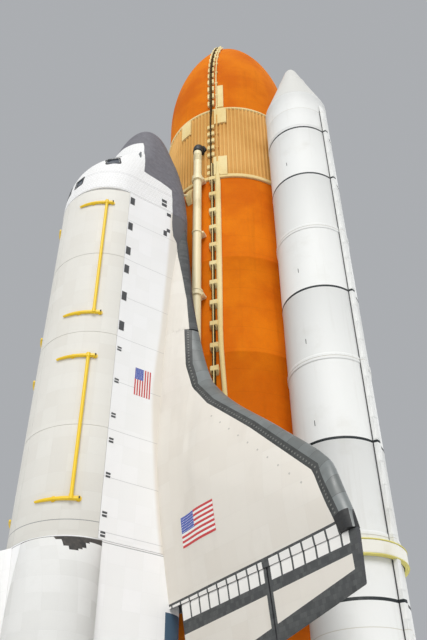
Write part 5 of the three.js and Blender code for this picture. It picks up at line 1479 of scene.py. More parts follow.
door_rows = [[BAY_START + SEAM, DOOR_OUTER - 0.6], [BAY_START + SEAM + 1, DOOR_OUTER]]
for at in DOOR_JOINTS:
    door_rows += [[at - 1.4, DOOR_OUTER], [at - 0.9, DOOR_OUTER - 0.7], [at, DOOR_OUTER - 0.8],
                  [at + 0.9, DOOR_OUTER - 0.7]]
    door_rows += [[at + 1.4, DOOR_OUTER]]
door_rows += [[BAY_END - SEAM - 1, DOOR_OUTER], [BAY_END - SEAM, DOOR_OUTER - 0.6]]
door_rows = array(door_rows)
for word, side in SIDES:
    outer = crown_sheet(door_rows[:, 0], door_rows[:, 1], 40, side)
    inner = crown_sheet(door_rows[:, 0], DOOR_INNER, 40, side)
    shape = slab(outer, inner, 0, 1, 1)
    panels = []
    for first, last in ((590, 758), (768, 942), (952, 1124), (1134, 1299)):
        marks = linspace(first, last, 5)
        panels.append(slab(crown_sheet(marks, DOOR_INNER + 0.3, 24, side, 428, 12),
                           crown_sheet(marks, DOOR_INNER - 1.3, 24, side, 429, 13), 2))
    body = f"bay_door_{word}"
    piece(f"bay_door_{word}_panel", joined(shape, *panels), [shaded_door_paint, bay_metal, radiator.material],
          "white_blanket", body, body=body)

# %% [markdown]
# A handling frame is a long tube along the door with a curved arm across each end. The arms hug the door, and
# a clamp with a bolt closes each upper end.

# %% Handling frames
yellow_paint = painted("yellow_steel_paint", (240, 202, 38), (206, 160, 24), 0.4)
BEAM_TURN, BEAM_REACH, ARM_LOW, ARM_HIGH = 35, 104.2, 28, 67
for word, side in SIDES:
    def around(turn, radius, xo, side=side):
        return in_orbiter(xo, side * radius * cos(radians(turn)), BAY_AXIS + radius * sin(radians(turn)))

    for number, (first, last) in enumerate(((622, 908), (995, 1255)), 1):
        parts = [pipe([around(BEAM_TURN, BEAM_REACH, s) for s in linspace(first + 2, last - 2, 9)],
                      2.9 * INCH, 20)]
        for at, way in ((first + 3, 1), (last - 3, -1)):
            turns = linspace(ARM_LOW, ARM_HIGH, 20)
            taper = np.interp(turns, [ARM_LOW, 38, 60, ARM_HIGH], [3.4, 3.0, 2.2, 1.5])
            loops = []
            for turn, half in zip(turns, taper):
                u = array([-1, 1, 1, 0.55, -0.55, -1]) * half
                v = array([0, 0, 0.6, 1, 1, 0.6]) * (half + 1.6)
                loops.append(around(turn, 100.5 + v, at + u))
            parts.append(skin(array(loops)))
            parts.append(pipe([around(BEAM_TURN, BEAM_REACH, at + way * s) for s in (-2.6, 5)], 3.7 * INCH,
                              20))
            for turn in (ARM_LOW + 1, 50):
                parts.append(pipe([around(turn, r, at) for r in (100.3, 101.4)], 4.6 * INCH, 16))
            parts.append(pipe([around(ARM_LOW + 0.5, r, at) for r in (101.4, 107.6)], 1.3 * INCH, 12, 1))
        name = f"handling_frame_{word}_{number}"
        piece(f"{name}_tubes", parts, [yellow_paint, dark_metal], "yellow_steel", name,
              body=f"bay_door_{word}")

# %% [markdown]
# ## The tail of the body
# The aft fuselage closes the hull. Its back slopes under the engines, with a round socket for each, and a
# shelf reaches back to carry the body flap. All that is cut from the plain hull.

# %% Aft fuselage
ENGINES = {"centre": (1445, 0, 443.4, 16, 0), "right": (1468, 53, 342.6, 10, 3.5),
           "left": (1468, -53, 342.6, 10, -3.5)}
FLAP_XO, FLAP_ZO = 1532, 287
look = Look("aft_paint", WHITE, 0.66)
xo, yo, zo = look.stations()
tint, height = blanket_pattern(look, WHITE, WHITE_SHADE)
dark, _ = tile_pattern(look, BLACK, BLACK_SHADE)
low_side = look.under(zo, 303)
rear = look.times(low_side, look.over(xo, 1388))
side_wall = look.times(look.under(xo, 1470), look.over(zo, 266))
# The dark tiles low on the tail's side turn blue-grey: a painted reflection of blue light.
dark = look.mix(look.times(rear, side_wall), dark, (66, 92, 114))
belly = look.under(zo, 273)
tint = look.mix(look.either(rear, belly), tint, dark)
seam = look.band(xo, 1309, 1310.6)
tint = look.mix(look.times(seam, 0.6), tint, (120, 120, 122))
aft_paint = look.done(tint, None, look.bump(height, 0.002, 0.5))
base_blanket = plain_blanket("base_blanket", (92, 92, 94), (72, 72, 74))

ball_turn = linspace(0, pi, 25)


def ball(xo, yo, zo, radius, tone=0):
    return turned(lambda a, b, s: in_orbiter(xo + s, yo + a, zo + b),
                  stack([radius * sin(ball_turn), -radius * cos(ball_turn)], -1), 48, tone)


def prism(outline, low, high, tone=1):
    """A block through the orbiter from low to high across it, whose side view is the outline of [xo, zo]."""
    outline = array(outline, float)
    return skin(stack([in_orbiter(outline[:, 0], out, outline[:, 1]) for out in (low, high)]), tone)


def shield(zo):
    return HULL_END - 40 + (443 - zo) * 0.198


hull_shape = hull_body(linspace(BAY_END + 0.4, HULL_END, 34))
aft = piece("aft_fuselage_shell", hull_shape, [aft_paint, base_blanket], "white_tile", "aft_fuselage")
behind = prism([[shield(230), 230], [shield(560), 560], [1600, 560], [1600, 230]], -140, 140)
cuts = [behind] + [ball(*place[:3], 36.4, 1) for place in ENGINES.values()]
carve(aft, joined(*cuts))

turn = angles(-50, 50, 9)
cove = stack([FLAP_XO - 8.8 * cos(turn), FLAP_ZO + 8.8 * sin(turn)], -1)
shelf = concatenate([[[1440, 274], [1525.6, 274]], cove, [[1525.6, 300], [1440, 300]]])
body = prism(shelf, -104, 104, 0)
ribs = [box(in_orbiter(1500, step, 301), 1.2, 1.4, 20) for step in (-92, -20, 20, 92)]
piece("tail_shelf", joined(body, *ribs), black_tiles, "dark_tile")

nose_turn = angles(-90, 90, 13)
flap = concatenate([stack([FLAP_XO - 8 * cos(nose_turn), FLAP_ZO + 8 * sin(nose_turn)], -1),
                    [[FLAP_XO + 40, FLAP_ZO + 3.2], [FLAP_XO + 79, FLAP_ZO - 2.6],
                     [FLAP_XO + 81, FLAP_ZO - 4.4], [FLAP_XO + 79, FLAP_ZO - 6],
                     [FLAP_XO + 40, FLAP_ZO - 7]]])
spans = array([-126, -125.2, *linspace(-120, 120, 13), 125.2, 126])
middle = flap.mean(0)
loops = []
for out in spans:
    section = middle + (flap - middle) * (0.98 if abs(out) == 126 else 1)
    loops.append(in_orbiter(section[:, 0], out, section[:, 1]))
piece("body_flap_tiles", skin(array(loops)), black_tiles, "dark_tile", "body_flap", body="body_flap")

# %% [markdown]
# ## The pods
# A pod for the orbital engines bulges from each side of the tail. A table says how far it swells out of the
# body at each station, and across it the swelling fades to nothing at both edges.
# The part inside the hull and the room where the centre engine swings are cut away. At its back are the
# small engine's bell and rows of thruster mouths, on a stub that stands out to the side.

# %% Pods
# Columns: station, how far the pod stands out of the body at its middle
POD = [[1308.4, 1], [1309.4, 4], [1313, 8], [1322, 15], [1340, 24], [1365, 32], [1400, 38], [1440, 41],
       [1480, 41], [1505, 38], [1513, 35], [1515, 32]]
POD_MIDDLE, POD_HALF = 41.8, 35.8  # degrees up round the bay's axis
# The pods take a darker white than the hull: painted shade, to hold back the key light that falls full on
# them.
POD_SHADED_WHITE, POD_SHADE = (222, 222, 220), (212, 212, 209)
look = Look("pod_paint", POD_SHADED_WHITE, 0.7)
xo, yo, zo = look.stations()
tint, height = blanket_pattern(look, POD_SHADED_WHITE, POD_SHADE, 0.3, 0.3)
front_tiles, _ = tile_pattern(look, (70, 66, 62), (44, 43, 43), 0.06)
# The tiles at the pod's front: a patch with a stepped edge, and a thin rim down to the sill
block_xo = look.times(look.math("FLOOR", look.math("DIVIDE", xo, 3)), 3)
block_zo = look.times(look.math("FLOOR", look.math("DIVIDE", zo, 6)), 6)
reach = look.curve(block_zo, 400, 500, [[400, 1315], [430, 1315], [436, 1327], [450, 1334], [460, 1331],
                                            [466, 1325], [469, 1309], [500, 1309]], 2000)
patch = look.under(block_xo, reach)
tint = look.mix(patch, tint, front_tiles)
pod_paint = look.done(tint, None, look.bump(height, 0.002, 0.5))
engine_shade = painted("thruster_lining", (70, 66, 62), (40, 38, 36), 0.5, 0.5)
loop_turn = full_turn(56)
pod_stations = concatenate([[1308.4, 1309, 1309.6, 1311, 1313, 1316], linspace(1320, 1510, 40), [1513, 1515]])


def aimed(place, side=1):
    """Turns a bell's own points, with its length along the station, up by pitch and out by yaw."""
    xo, yo, zo, pitch, yaw = place
    p, w = radians(pitch), radians(yaw) * side

    def put(a, b, s):
        y, z = b * cos(p) - s * sin(p), -b * sin(p) - s * cos(p)
        return in_orbiter(xo - a * sin(w) - z * cos(w), side * yo + a * cos(w) - z * sin(w), zo - y)
    return put


for word, side in SIDES:
    share = linspace(-1, 1, 61)
    share = np.sign(share) * (1 - (1 - np.abs(share)) ** 1.5)
    turn = radians(POD_MIDDLE + POD_HALF * share)
    radius = 100 + eased(POD, pod_stations)[:, None] * (1 - np.abs(share) ** 2.4) ** 0.85
    out = concatenate([radius * cos(turn), np.full((len(pod_stations), 1), 30.0)], 1)
    up = concatenate([radius * sin(turn), np.full((len(pod_stations), 1), 25.0)], 1)
    loops = in_orbiter(pod_stations[:, None], side * out, BAY_AXIS + up)
    pod = piece(f"pod_{word}_shell", skin(loops), [pod_paint, base_blanket], "white_blanket", f"pod_{word}")
    swing = [in_orbiter(array([xo, xo, xo, xo]), array([-1, 1, 1, -1]) * half, array([380, 380, 540, 540]))
             for xo, half in ((1455, 37), (1535, 48))]
    carve(pod, joined(skin(array(swing), 1), hull_body(linspace(1290, HULL_END, 20), 0.4, 1)))
    housing = []
    marks = array([[1488, 98, 21, 25], [1490, 98, 22, 26], [1525, 103, 19, 23], [1560, 107.6, 15.4, 19.4],
                      [1562, 108, 13.6, 17.6]])
    loops = in_orbiter(marks[:, :1], side * (marks[:, 1:2] + marks[:, 2:3] * cos(loop_turn)),
                       446 + marks[:, 3:4] * sin(loop_turn))
    housing.append(skin(loops))
    for step in (-10, -1, 8):
        for at in (1512, 1528, 1544):
            out = rows_at([[1490, 119], [1560, 122.4]], at)
            drop = 0.9 * step
            mouth = [in_orbiter(at, side * (out - 3.4), 446 + drop), in_orbiter(at, side * (out + 0.8), 446
                                                                                + drop)]
            housing.append(pipe(mouth, array([2.6, 3.6]) * INCH, 18))
            housing.append(pipe([in_orbiter(at, side * (out + 0.5), 446 + drop),
                                 in_orbiter(at, side * (out + 1.1), 446 + drop)], 2.9 * INCH, 18, 1))
    piece(f"pod_{word}_thrusters", housing, [pod_paint, engine_shade], "white_blanket")

# %% [markdown]
# ## The engines
# A rocket bell widens fast at the throat and more slowly towards its mouth: its radius grows with a power of
# the length. Its wall is a bundle of thin tubes, so the recipe draws fine lines round it, and heat has
# tinted it in bands. Hoops and a manifold pipe stiffen the outside, and a domed blanket closes its root.

# %% Engine metal and bells
look = Look("engine_bell_metal", (132, 126, 120), 0.36, 0.85)
u, v, _ = look.split(look.place("UV"))
tube_lines = look.lines(u, 0.013, 0.004)
heat = look.node("ValToRGB", "Color", {"Fac": look.math("FRACT", look.scaled(v, 0.45, 0.1))})
ramp = heat.node.color_ramp
for at, shade in ((0.0, (150, 146, 142)), (1.0, (96, 92, 92))):
    ramp.elements[int(at)].color = (*linear(*shade), 1)
for at, shade in ((0.3, (140, 124, 104)), (0.55, (112, 104, 112)), (0.8, (126, 120, 112))):
    ramp.elements.new(at).color = (*linear(*shade), 1)
soot = look.noise(look.place(), 3.0, 5.0)
tint = look.mix(look.between(soot, 0.45, 0.75, 0, 0.5), heat, (74, 70, 68))
tint = look.mix(look.times(tube_lines, 0.5), tint, (58, 56, 55))
bell_metal = look.done(tint, look.between(soot, 0.3, 0.7, 0.3, 0.5), look.bump(tube_lines, -0.0016, 0.7))
bell_lining = painted("bell_lining", (88, 84, 82), (52, 50, 48), 0.5, 0.6)
EXIT, LENGTH, THROAT = 47, 157, 46

for name, place in ENGINES.items():
    put = aimed(place)
    share = linspace(0, 1, 30)
    radius, station = 13 + (EXIT - 13) * share ** 0.62, THROAT + (LENGTH - THROAT) * share
    inner = stack([radius - 1.8, station], -1)[::-1]
    powerhead = [[0.1, 27], [15, 30], [15.6, 34], [12.4, 36], [11.6, 41], [12.2, 45]]
    outline = concatenate([powerhead, stack([radius, station], -1), [[EXIT - 0.9, LENGTH + 0.9]], inner,
                              [[10.4, THROAT - 1], [8.2, THROAT - 4], [0.1, THROAT - 5]]])
    tone = [0] * (len(powerhead) + 30) + [1] * (len(outline) - len(powerhead) - 30)
    parts = [turned(put, outline, 96, tone)]
    for at in (0.16, 0.34, 0.52, 0.7, 0.86, 0.985):
        r, s = 13 + (EXIT - 13) * at ** 0.62, THROAT + (LENGTH - THROAT) * at
        parts.append(turned(put, [[r - 0.5, s - 1.3], [r + 0.8, s - 1.0], [r + 0.8, s + 1.0],
                                  [r - 0.5, s + 1.3]], 96, 2, closed=True))
    ring = stack([16.4 + 2.8 * cos(loop_turn[::3]), 52 + 2.8 * sin(loop_turn[::3])], -1)
    parts.append(turned(put, ring, 48, 2, closed=True))
    for turn in radians((20, 140, 260)):
        line = [put(r * cos(turn), r * sin(turn), s) for r, s in (
            (19, 54), (23.5, 58), (29.5, 70), (36, 92), (41.4, 118), (46, 148))]
        parts.append(pipe(smooth_path(line, 5), 1.1 * INCH, 10, 2))
    piece(f"engine_{name}_bell", parts, [bell_metal, bell_lining, grey_metal], "engine_metal",
          f"engine_{name}", body=f"engine_{name}")
    cap_turn = angles(-12, 64, 16)
    cap = [[0.1, -8], [33, -8], *[[34 * cos(t), 34 * sin(t)] for t in cap_turn], [0.1, 31]]
    piece(f"engine_{name}_shield_dome", turned(put, cap, 64), base_blanket, "engine_metal",
          body=f"engine_{name}")

for word, side in SIDES:
    put = aimed((1518, 82, 478, 15.8, 6.5), side)
    share = linspace(0, 1, 18)
    outer = stack([8 + 12.7 * share ** 0.7, 10 + 64 * share], -1)
    inner = outer[::-1] - (1.2, 0)
    outline = concatenate([[[0.1, 0], [9, 0], [9.4, 3], [8.2, 6]], outer, inner, [[0.1, 12]]])
    tone = [0] * 22 + [1] * 19
    piece(f"pod_engine_{word}_bell", turned(put, outline, 48, tone), [bell_metal, bell_lining],
          "engine_metal", f"pod_engine_{word}")

# %% [markdown]
# ## The wings
# The wing's outline is a long glove along the body and a delta that is kinked at the crank. Its skin can be
# worked out at any place in plan: a round nose that swells over a given length, a crest, and a straight taper
# to the elevons. We set the points out in plan and lift them onto that skin.

# %% The wing's skin
LEADING = [[92, 560], [98, 590], [105, 626], [111, 662], [117, 708], [126, 786], [157, 929], [180, 1005],
           [199, 1046], [352, 1203], [424, 1274], [437, 1292], [449, 1328], [461, 1365], [464.5, 1376]]
THICKNESS = [[105, 62, 28, 108], [199, 52, 22.5, 96], [312, 32, 16, 74], [440, 17, 9.6, 40],
             [468, 12, 8.2, 24]]
ELEVON_HINGE = 1387
GLOVE_FOOT, WING_ROOT, WING_TIP = 92, 105, 464.5
TRAIL_SLOPE = 0.1773


def trailing(yo):
    return 1511 - (np.asarray(yo) - WING_ROOT) * TRAIL_SLOPE


def lower_surface(yo):
    return 267.5 + (np.asarray(yo) - WING_ROOT) * 0.061


def wing_faces(xo, yo):
    """The wing's upper and lower water lines at places in plan."""
    xo, yo = np.broadcast_arrays(np.asarray(xo, float), np.asarray(yo, float))
    front, back = eased(LEADING, yo), trailing(yo)
    most, at_hinge, swell = (rows_at(THICKNESS, yo, k) for k in (1, 2, 3))
    slope = sin(radians(np.interp(yo, [92, 116, 140, 178, 214], [9, 10, 14, 16, 45])))
    q = np.clip((xo - front) * slope / swell, 0, 1)
    rise = np.sqrt(1 - (1 - q) ** 2)
    crest = np.maximum(1150, front + (back - front) * 0.38)
    behind = np.clip((xo - crest) / (ELEVON_HINGE - crest), 0, 1)
    thick = np.where(xo < crest, most, most + (at_hinge - most) * behind * (0.6 + 0.4 * behind))
    bottom = lower_surface(yo)
    nose = bottom + 0.24 * most * np.minimum(1, swell / 60)
    return nose + (bottom + thick - nose) * rise, nose + (bottom - nose) * np.minimum(1, 1.25 * rise)


def hinge_line(yo):
    """The height and the radius of the elevon's round nose."""
    half = rows_at(THICKNESS, yo, 2) / 2
    return lower_surface(yo) + half, half - 0.5


# %% [markdown]
# The tail of the wing carries small doors that cover the gap at the hinge: white squares between dark lines.
# Behind them runs a dark band, then white again, then the dark trailing edge. Wing and elevon share this
# pattern, so one function draws it from the stations, and it runs on across the gap between them.


# %% Wing finishes
def wing_paint(name, upper):
    look = Look(name, WARM if upper else BLACK, 0.72 if upper else 0.5)
    if not upper:
        color, height = tile_pattern(look, BLACK, BLACK_SHADE, 0.0762)
        return look.done(color, None, look.bump(height, 0.0012, 0.5))
    xo, yo, zo = look.stations()
    color, height = blanket_pattern(look, WARM, WARM_SHADE, 0.42, 0.42)
    dirt = look.noise(look.place(scale=(1, 1, 0.35)), 1.7, 6.0)
    color = look.mix(look.between(dirt, 0.5, 0.8, 0, 0.22), color, (176, 168, 156))
    # Small vents in a row beside the carbon, which runs nearly straight from the crank to the tip
    inside = look.scaled(xo, -0.6947, look.scaled(yo, 0.7193, 614.6))
    along = look.scaled(xo, 0.7193, look.times(yo, 0.6947))
    dots = look.times(look.band(inside, -9.3, -6.7), look.lines(along, 27.0, 3.0))
    dots = look.times(dots, look.band(yo, 215, 400))
    color = look.mix(look.times(dots, 0.45), color, (130, 128, 124))
    tile, _ = tile_pattern(look, (84, 86, 86), (66, 68, 69), 0.0762)
    # How far behind the front of the squares, which lies further forward towards the tip
    behind = look.math("SUBTRACT", xo, look.scaled(yo, -0.0185, 1380.5))
    squares = look.band(behind, 0, 27)
    dividers = look.lines(yo, 20.6, 3.0, 132)
    rim = look.band(behind, -1.6, 1.6)
    past = look.scaled(yo, 0.018, behind)
    band = look.times(look.over(behind, 27), look.under(past, 47))
    color = look.mix(squares, color, (236, 234, 230))
    color = look.mix(look.either(look.times(squares, dividers), look.either(rim, band)), color, tile)
    to_back = look.plus(xo, look.times(yo, TRAIL_SLOPE))
    back = look.over(to_back, 1511 + 18.6 - 21)
    split = look.times(look.band(yo, 306, 318), look.over(behind, 0))
    tip = look.over(yo, 453)
    ends = look.either(look.either(split, tip), back)
    behind_hinge = look.over(xo, 1362)
    color = look.mix(look.times(ends, behind_hinge), color, tile)
    glove = look.under(xo, 905)
    low = look.under(zo, look.curve(xo, 560, 905, [
        [560, 303], [704, 302], [741, 299.7], [783, 296.5], [822, 294.5], [867, 296.6], [905, 298.5]], 400))
    color = look.mix(look.times(glove, low), color, tile)
    return look.done(color, None, look.bump(height, 0.002, 0.5))


wing_top, wing_belly = wing_paint("wing_top", True), wing_paint("wing_belly", False)
# The strip that joins the carbon to the wing: dark tiles with a row of pale plugs
look = Look("edge_carbon_band", (56, 58, 57), 0.5)
u, v, _ = look.split(look.place("UV"))
plugs = look.times(look.band(u, 0.05, 0.08), look.lines(v, 0.085, 0.03))
wear = look.noise(look.place(), 6.0, 5.0)
tint = look.mix(look.between(wear, 0.4, 0.7), (62, 64, 63), (44, 46, 45))
tint = look.mix(look.times(plugs, 0.45), tint, (150, 150, 144))
carbon_band = look.done(tint, None, look.bump(plugs, 0.001, 0.5))


def plan_uv(points):
    """Distances in metres across and along the stack, to map a pattern on a wing from above."""
    return dict(across=points[..., 0], down=points[..., 2])


# %% [markdown]
# The wing's rows run along the stations. Each row starts inside the hull and ends at the leading edge, or at
# the line where the carbon starts. The last rows gather at the hinge, where the wing's rear is a hollow that
# fits the elevon's round nose with a little room.

# %% Wing bodies
# Columns: out on the leading edge, out and station where the carbon ends
CARBON = [[151.8, 138.4, 905], [175, 152.6, 994], [192, 171, 1049], [232, 213, 1100], [316, 301, 1182],
          [430, 414.5, 1297], [459, 438, 1366], [464.5, 442.9, 1384.3]]
carbon_line = array([[row[2], row[1]] for row in CARBON])
front_rows = concatenate([linspace(561, 904.6, 40), linspace(905, 1360, 50)])
limit = np.interp(front_rows, carbon_line[:, 0], carbon_line[:, 1]) - 0.05
limit[:40] = eased([[xo, yo] for yo, xo in LEADING], front_rows[:40]) - 0.02
columns = 1 - (1 - linspace(0, 1, 40)) ** 1.6
plan_yo = GLOVE_FOOT + (limit[:, None] - GLOVE_FOOT) * columns
plan_xo = np.broadcast_to(front_rows[:, None], plan_yo.shape)
last_yo = GLOVE_FOOT + (442.8 - GLOVE_FOOT) * columns
nose_radius = hinge_line(np.maximum(last_yo, WING_ROOT))[1]
UPPER_LIP, LOWER_LIP = 0.31, 0.5  # how far the wing's edges stop ahead of the hinge, in nose radii
COVE_ROOM = 0.45
shares = linspace(0, 1, 7)[1:, None]
top_xo, bottom_xo = (concatenate([plan_xo, 1360 + (ELEVON_HINGE - lip * nose_radius - 1360) * shares])
                     for lip in (UPPER_LIP, LOWER_LIP))
plan_yo = concatenate([plan_yo, plan_yo[-1] + (last_yo - plan_yo[-1]) * shares])
bottom = wing_faces(bottom_xo, plan_yo)[1]
top = np.maximum(wing_faces(top_xo, plan_yo)[0], bottom + 0.02)


def cove_strip(yo, top_edge, bottom_edge):
    """The hollow at the wing's rear: from its upper edge round the hinge to its lower edge."""
    height, radius = hinge_line(np.maximum(yo, WING_ROOT))
    radius = radius + COVE_ROOM
    above, below = (np.arccos(lip * (radius - COVE_ROOM) / radius) for lip in (UPPER_LIP, LOWER_LIP))
    turn = above - (above + below) * linspace(0, 1, 11)[:, None]
    hollow = in_orbiter(ELEVON_HINGE - radius * cos(turn), yo, height + radius * sin(turn))
    return grid(concatenate([top_edge[None], hollow, bottom_edge[None]]), tone=2)


upper, lower = in_orbiter(top_xo, plan_yo, top), in_orbiter(bottom_xo, plan_yo, bottom)
parts = [grid(upper, tone=0, **plan_uv(upper)), grid(lower, tone=1, **plan_uv(lower))]
first, _, *sides = rims(upper, lower, 2)
parts += [first, *sides]
parts.append(cove_strip(last_yo, upper[-1], lower[-1]))
wing_shape = joined(*parts)
wing_tree = tree_of(wing_shape)

share = linspace(0, len(CARBON) - 1, 8 * (len(CARBON) - 1) + 1)
index = np.arange(len(CARBON))
out_front, out_back, at_back = (np.interp(share, index, column) for column in array(CARBON).T)
at_front = eased(LEADING, out_front)
at_front[-9:] = np.interp(linspace(0, 1, 9), [0, 1], [at_front[-9], 1384.3])
front_point, back_point = stack([out_front, at_front], -1), stack([out_back, at_back], -1)
length = np.linalg.norm(back_point - front_point, axis=1)[:, None]
runs = [linspace(0, 1, 20) ** 2 * (1 - 11 / length), 1 - 10.6 / length, 1 - 2.4 / length, 0 * length + 1]
run = concatenate(runs, 1)[..., None]
plan = front_point[:, None] + (back_point - front_point)[:, None] * run
edge_top, edge_bottom = wing_faces(plan[..., 1], plan[..., 0])
edge_top[:, 1:] = np.maximum(edge_top[:, 1:], edge_bottom[:, 1:] + 0.02)
tones = np.zeros(run.shape[:2], int)
tones[:, 20:] = 1
tones[:, 22:] = 2
tones[-9:, 8:] = 2
along = np.cumsum(np.linalg.norm(np.diff(front_point, axis=0, prepend=front_point[:1]), axis=1))[:,
                                                                                                 None] * INCH
edge_upper = in_orbiter(plan[..., 1], plan[..., 0], edge_top)
edge_lower = in_orbiter(plan[..., 1], plan[..., 0], edge_bottom)
from_inside = (1 - run[..., 0]) * length * INCH
edge_parts = [grid(edge_upper, False, tones, from_inside, along), grid(edge_lower, False, tones, from_inside,
                                                                       along)]
edge_shape = joined(*edge_parts, *rims(edge_upper, edge_lower, 2))
look = Look("carbon_panels", (114, 119, 119), 0.45)
u, v, _ = look.split(look.place("UV"))
seams = look.lines(v, 0.34, 0.006)
panel = look.node("TexWhiteNoise", "Value", {"W": look.math("FLOOR", look.math("DIVIDE", v, 0.34))},
                       noise_dimensions="1D")
worn = look.noise(look.place(), 3.0, 5.0)
tint = look.mix(panel, (120, 125, 125), (104, 108, 107))
tint = look.mix(look.between(worn, 0.45, 0.75, 0, 0.5), tint, (90, 93, 91))
carbon_panels = look.done(look.mix(seams, tint, (60, 62, 62)), look.between(worn, 0.3, 0.7, 0.32, 0.5),
                               look.bump(seams, -0.002, 0.6))

for word, side in SIDES:
    piece(f"wing_{word}_skin", mirrored(wing_shape, side), [wing_top, wing_belly, black_tiles],
          "white_blanket", f"wing_{word}", edge=40)
    piece(f"wing_edge_{word}_panels", mirrored(edge_shape, side), [carbon_panels, carbon_band, black_seal],
          "carbon_edge", f"wing_edge_{word}", edge=40)

# %% [markdown]
# An elevon has a round nose about its hinge and tapers straight to its trailing edge. Its section is the same
# loop at every place along the hinge, scaled by that place's own sizes, with slightly rounded ends.

# %% Elevons
for word, side in SIDES:
    for span, (first, last) in (("inboard", (132, 311)), ("outboard", (313.5, WING_TIP))):
        loops = []
        for yo in [first, first + 0.7, *linspace(first + 3, last - 3, 18), last - 0.7, last]:
            height, radius = hinge_line(yo)
            back = float(trailing(yo))
            end = lower_surface(yo) + 0.02 * (back - ELEVON_HINGE) + 1.6
            turn = angles(-90, 90, 17)
            nose = stack([ELEVON_HINGE - radius * cos(turn), height + radius * sin(turn)], -1)
            run = linspace(0, 1, 9)[1:-1, None]
            over = nose[-1] + ([back - 1, end + 1.2] - nose[-1]) * run
            under = nose[0] + ([back - 1, end - 1.2] - nose[0]) * run[::-1]
            loop = concatenate([nose, over, [[back - 1, end + 1.2], [back, end + 0.5], [back, end - 0.5],
                                                [back - 1, end - 1.2]], under])
            if yo in (first, last):
                loop = loop + (loop.mean(0) - loop) * 0.03
            loops.append(in_orbiter(loop[:, 0], yo, loop[:, 1]))
        points = array(loops)
        tone = np.zeros(points.shape[:2], int)
        tone[:, :9] = 1
        tone[:, 9 + 8 + 9:] = 1
        body = skin(points, tone, end_tone=2)
        body = Shape(body.points, body.quads, body.points[body.quads][..., [0, 2]], body.tone)
        name = f"elevon_{word}_{span}"
        piece(f"{name}_panel", mirrored(body, side), [wing_top, wing_belly, black_tiles], "white_tile", name,
              body=name)

# %% [markdown]
# ## The fin and the rudder
# The fin leans back and thins towards its tip. Its rear is cut out along the hinge line for the rudder, which
# is split in two panels that turn together to steer and spread apart to brake. The hinge line has its own
# axes: up along it, aft across it and out of it, and both panels and the shaft are drawn in them.

# %% Fin
FIN_FOOT, FIN_TIP, HINGE_SHARE, RUDDER_LOW, RUDDER_HIGH = 500, 816, 0.6, 600, 772
FIN_FRONT, FIN_BACK = (1277, 1592.5), (1545, 1701)  # stations at its foot and at its tip


def fin_line(zo):
    """The fin's front, hinge and back stations and its half thickness at a water line."""
    t = (zo - FIN_FOOT) / (FIN_TIP - FIN_FOOT)
    front = max(FIN_FRONT[0] + (FIN_FRONT[1] - FIN_FRONT[0]) * t, 1309 + 31 * (zo - FIN_FOOT) / 63)
    back = FIN_BACK[0] + (FIN_BACK[1] - FIN_BACK[0]) * t
    return front, back, front + (back - front) * HINGE_SHARE, 11.5 + (5 - 11.5) * t


def fin_loop(zo, slim=1.0, front_cut=0.0):
    front, back, hinge, half = fin_line(zo)
    front += front_cut
    s = linspace(0, 1, 16) ** 1.7
    x = concatenate([front + (hinge - front) * s, linspace(hinge, back, 8)[1:]])
    y = concatenate([half * sin(s * pi / 2) ** 0.75, linspace(half, 0.9, 8)[1:]]) * slim
    return in_orbiter(concatenate([x, x[-2:0:-1]]), concatenate([y, -y[-2:0:-1]]), zo)


look = Look("fin_paint", WHITE, 0.7)
xo, yo, zo = look.stations()
tint, height = blanket_pattern(look, WHITE, WHITE_SHADE, 0.4, 0.4)
dark, _ = tile_pattern(look, BLACK, BLACK_SHADE)
sweep = (1592.5 - 1277) / 316
swept = look.scaled(zo, -sweep, xo)
front_edge = look.under(swept, 1277 - 500 * sweep + 13)
tail_edge = look.over(look.scaled(zo, -156 / 316, xo), 1545 - 500 * 156 / 316 - 13)
tint = look.mix(look.either(front_edge, tail_edge), tint, dark)
fin_paint = look.done(tint, None, look.bump(height, 0.002, 0.5))

levels = [482, *linspace(500, 562, 8), *linspace(570, FIN_TIP - 14, 30)]
loops = [fin_loop(zo) for zo in levels]
loops += [fin_loop(FIN_TIP - 14 + step, slim, cut) for step, slim, cut in (
    (5, 0.97, 0.8), (9, 0.9, 2.5), (12, 0.72, 5), (13.6, 0.45, 8), (14, 0.2, 10))]
fin = piece("fin_skin", skin(array(loops)), [fin_paint, black_seal], "white_blanket", "fin")

low, high = fin_line(RUDDER_LOW), fin_line(RUDDER_HIGH)
hinge_foot, hinge_head = in_orbiter(low[2], 0, RUDDER_LOW), in_orbiter(high[2], 0, RUDDER_HIGH)
hinge_up = (hinge_head - hinge_foot) / np.linalg.norm(hinge_head - hinge_foot)
hinge_aft = np.cross(hinge_up, (1, 0, 0))
hinge_aft *= -1 if hinge_aft[2] > 0 else 1


def across_hinge(points, share):
    """Points of [aft, out] in inches, in the plane across the hinge line at a share of its length."""
    points = np.asarray(points, float) * INCH
    foot = hinge_foot + (hinge_head - hinge_foot) * share
    return foot + points[:, :1] * hinge_aft + points[:, 1:] * array([1, 0, 0])


def rudder_half(share):
    return low[3] + (high[3] - low[3]) * share


def opening(share):
    reach = (rudder_half(share) + 1.5) * 0.97
    return across_hinge([[-reach, -20], [120, -20], [120, 20], [-reach, 20]], share)


bell_room = prism([[1474, 470], [1474, 493], [1562, 568], [1680, 568], [1680, 470]], -20, 20)
door_room = prism([[1200, 450], [1308, 450], [1308, 520], [1200, 520]], -20, 20)
carve(fin, joined(skin(stack([opening(-0.004), opening(1.004)]), 1), bell_room, door_room,
                  hull_body(linspace(1290, HULL_END, 20), 0.2, 1)))

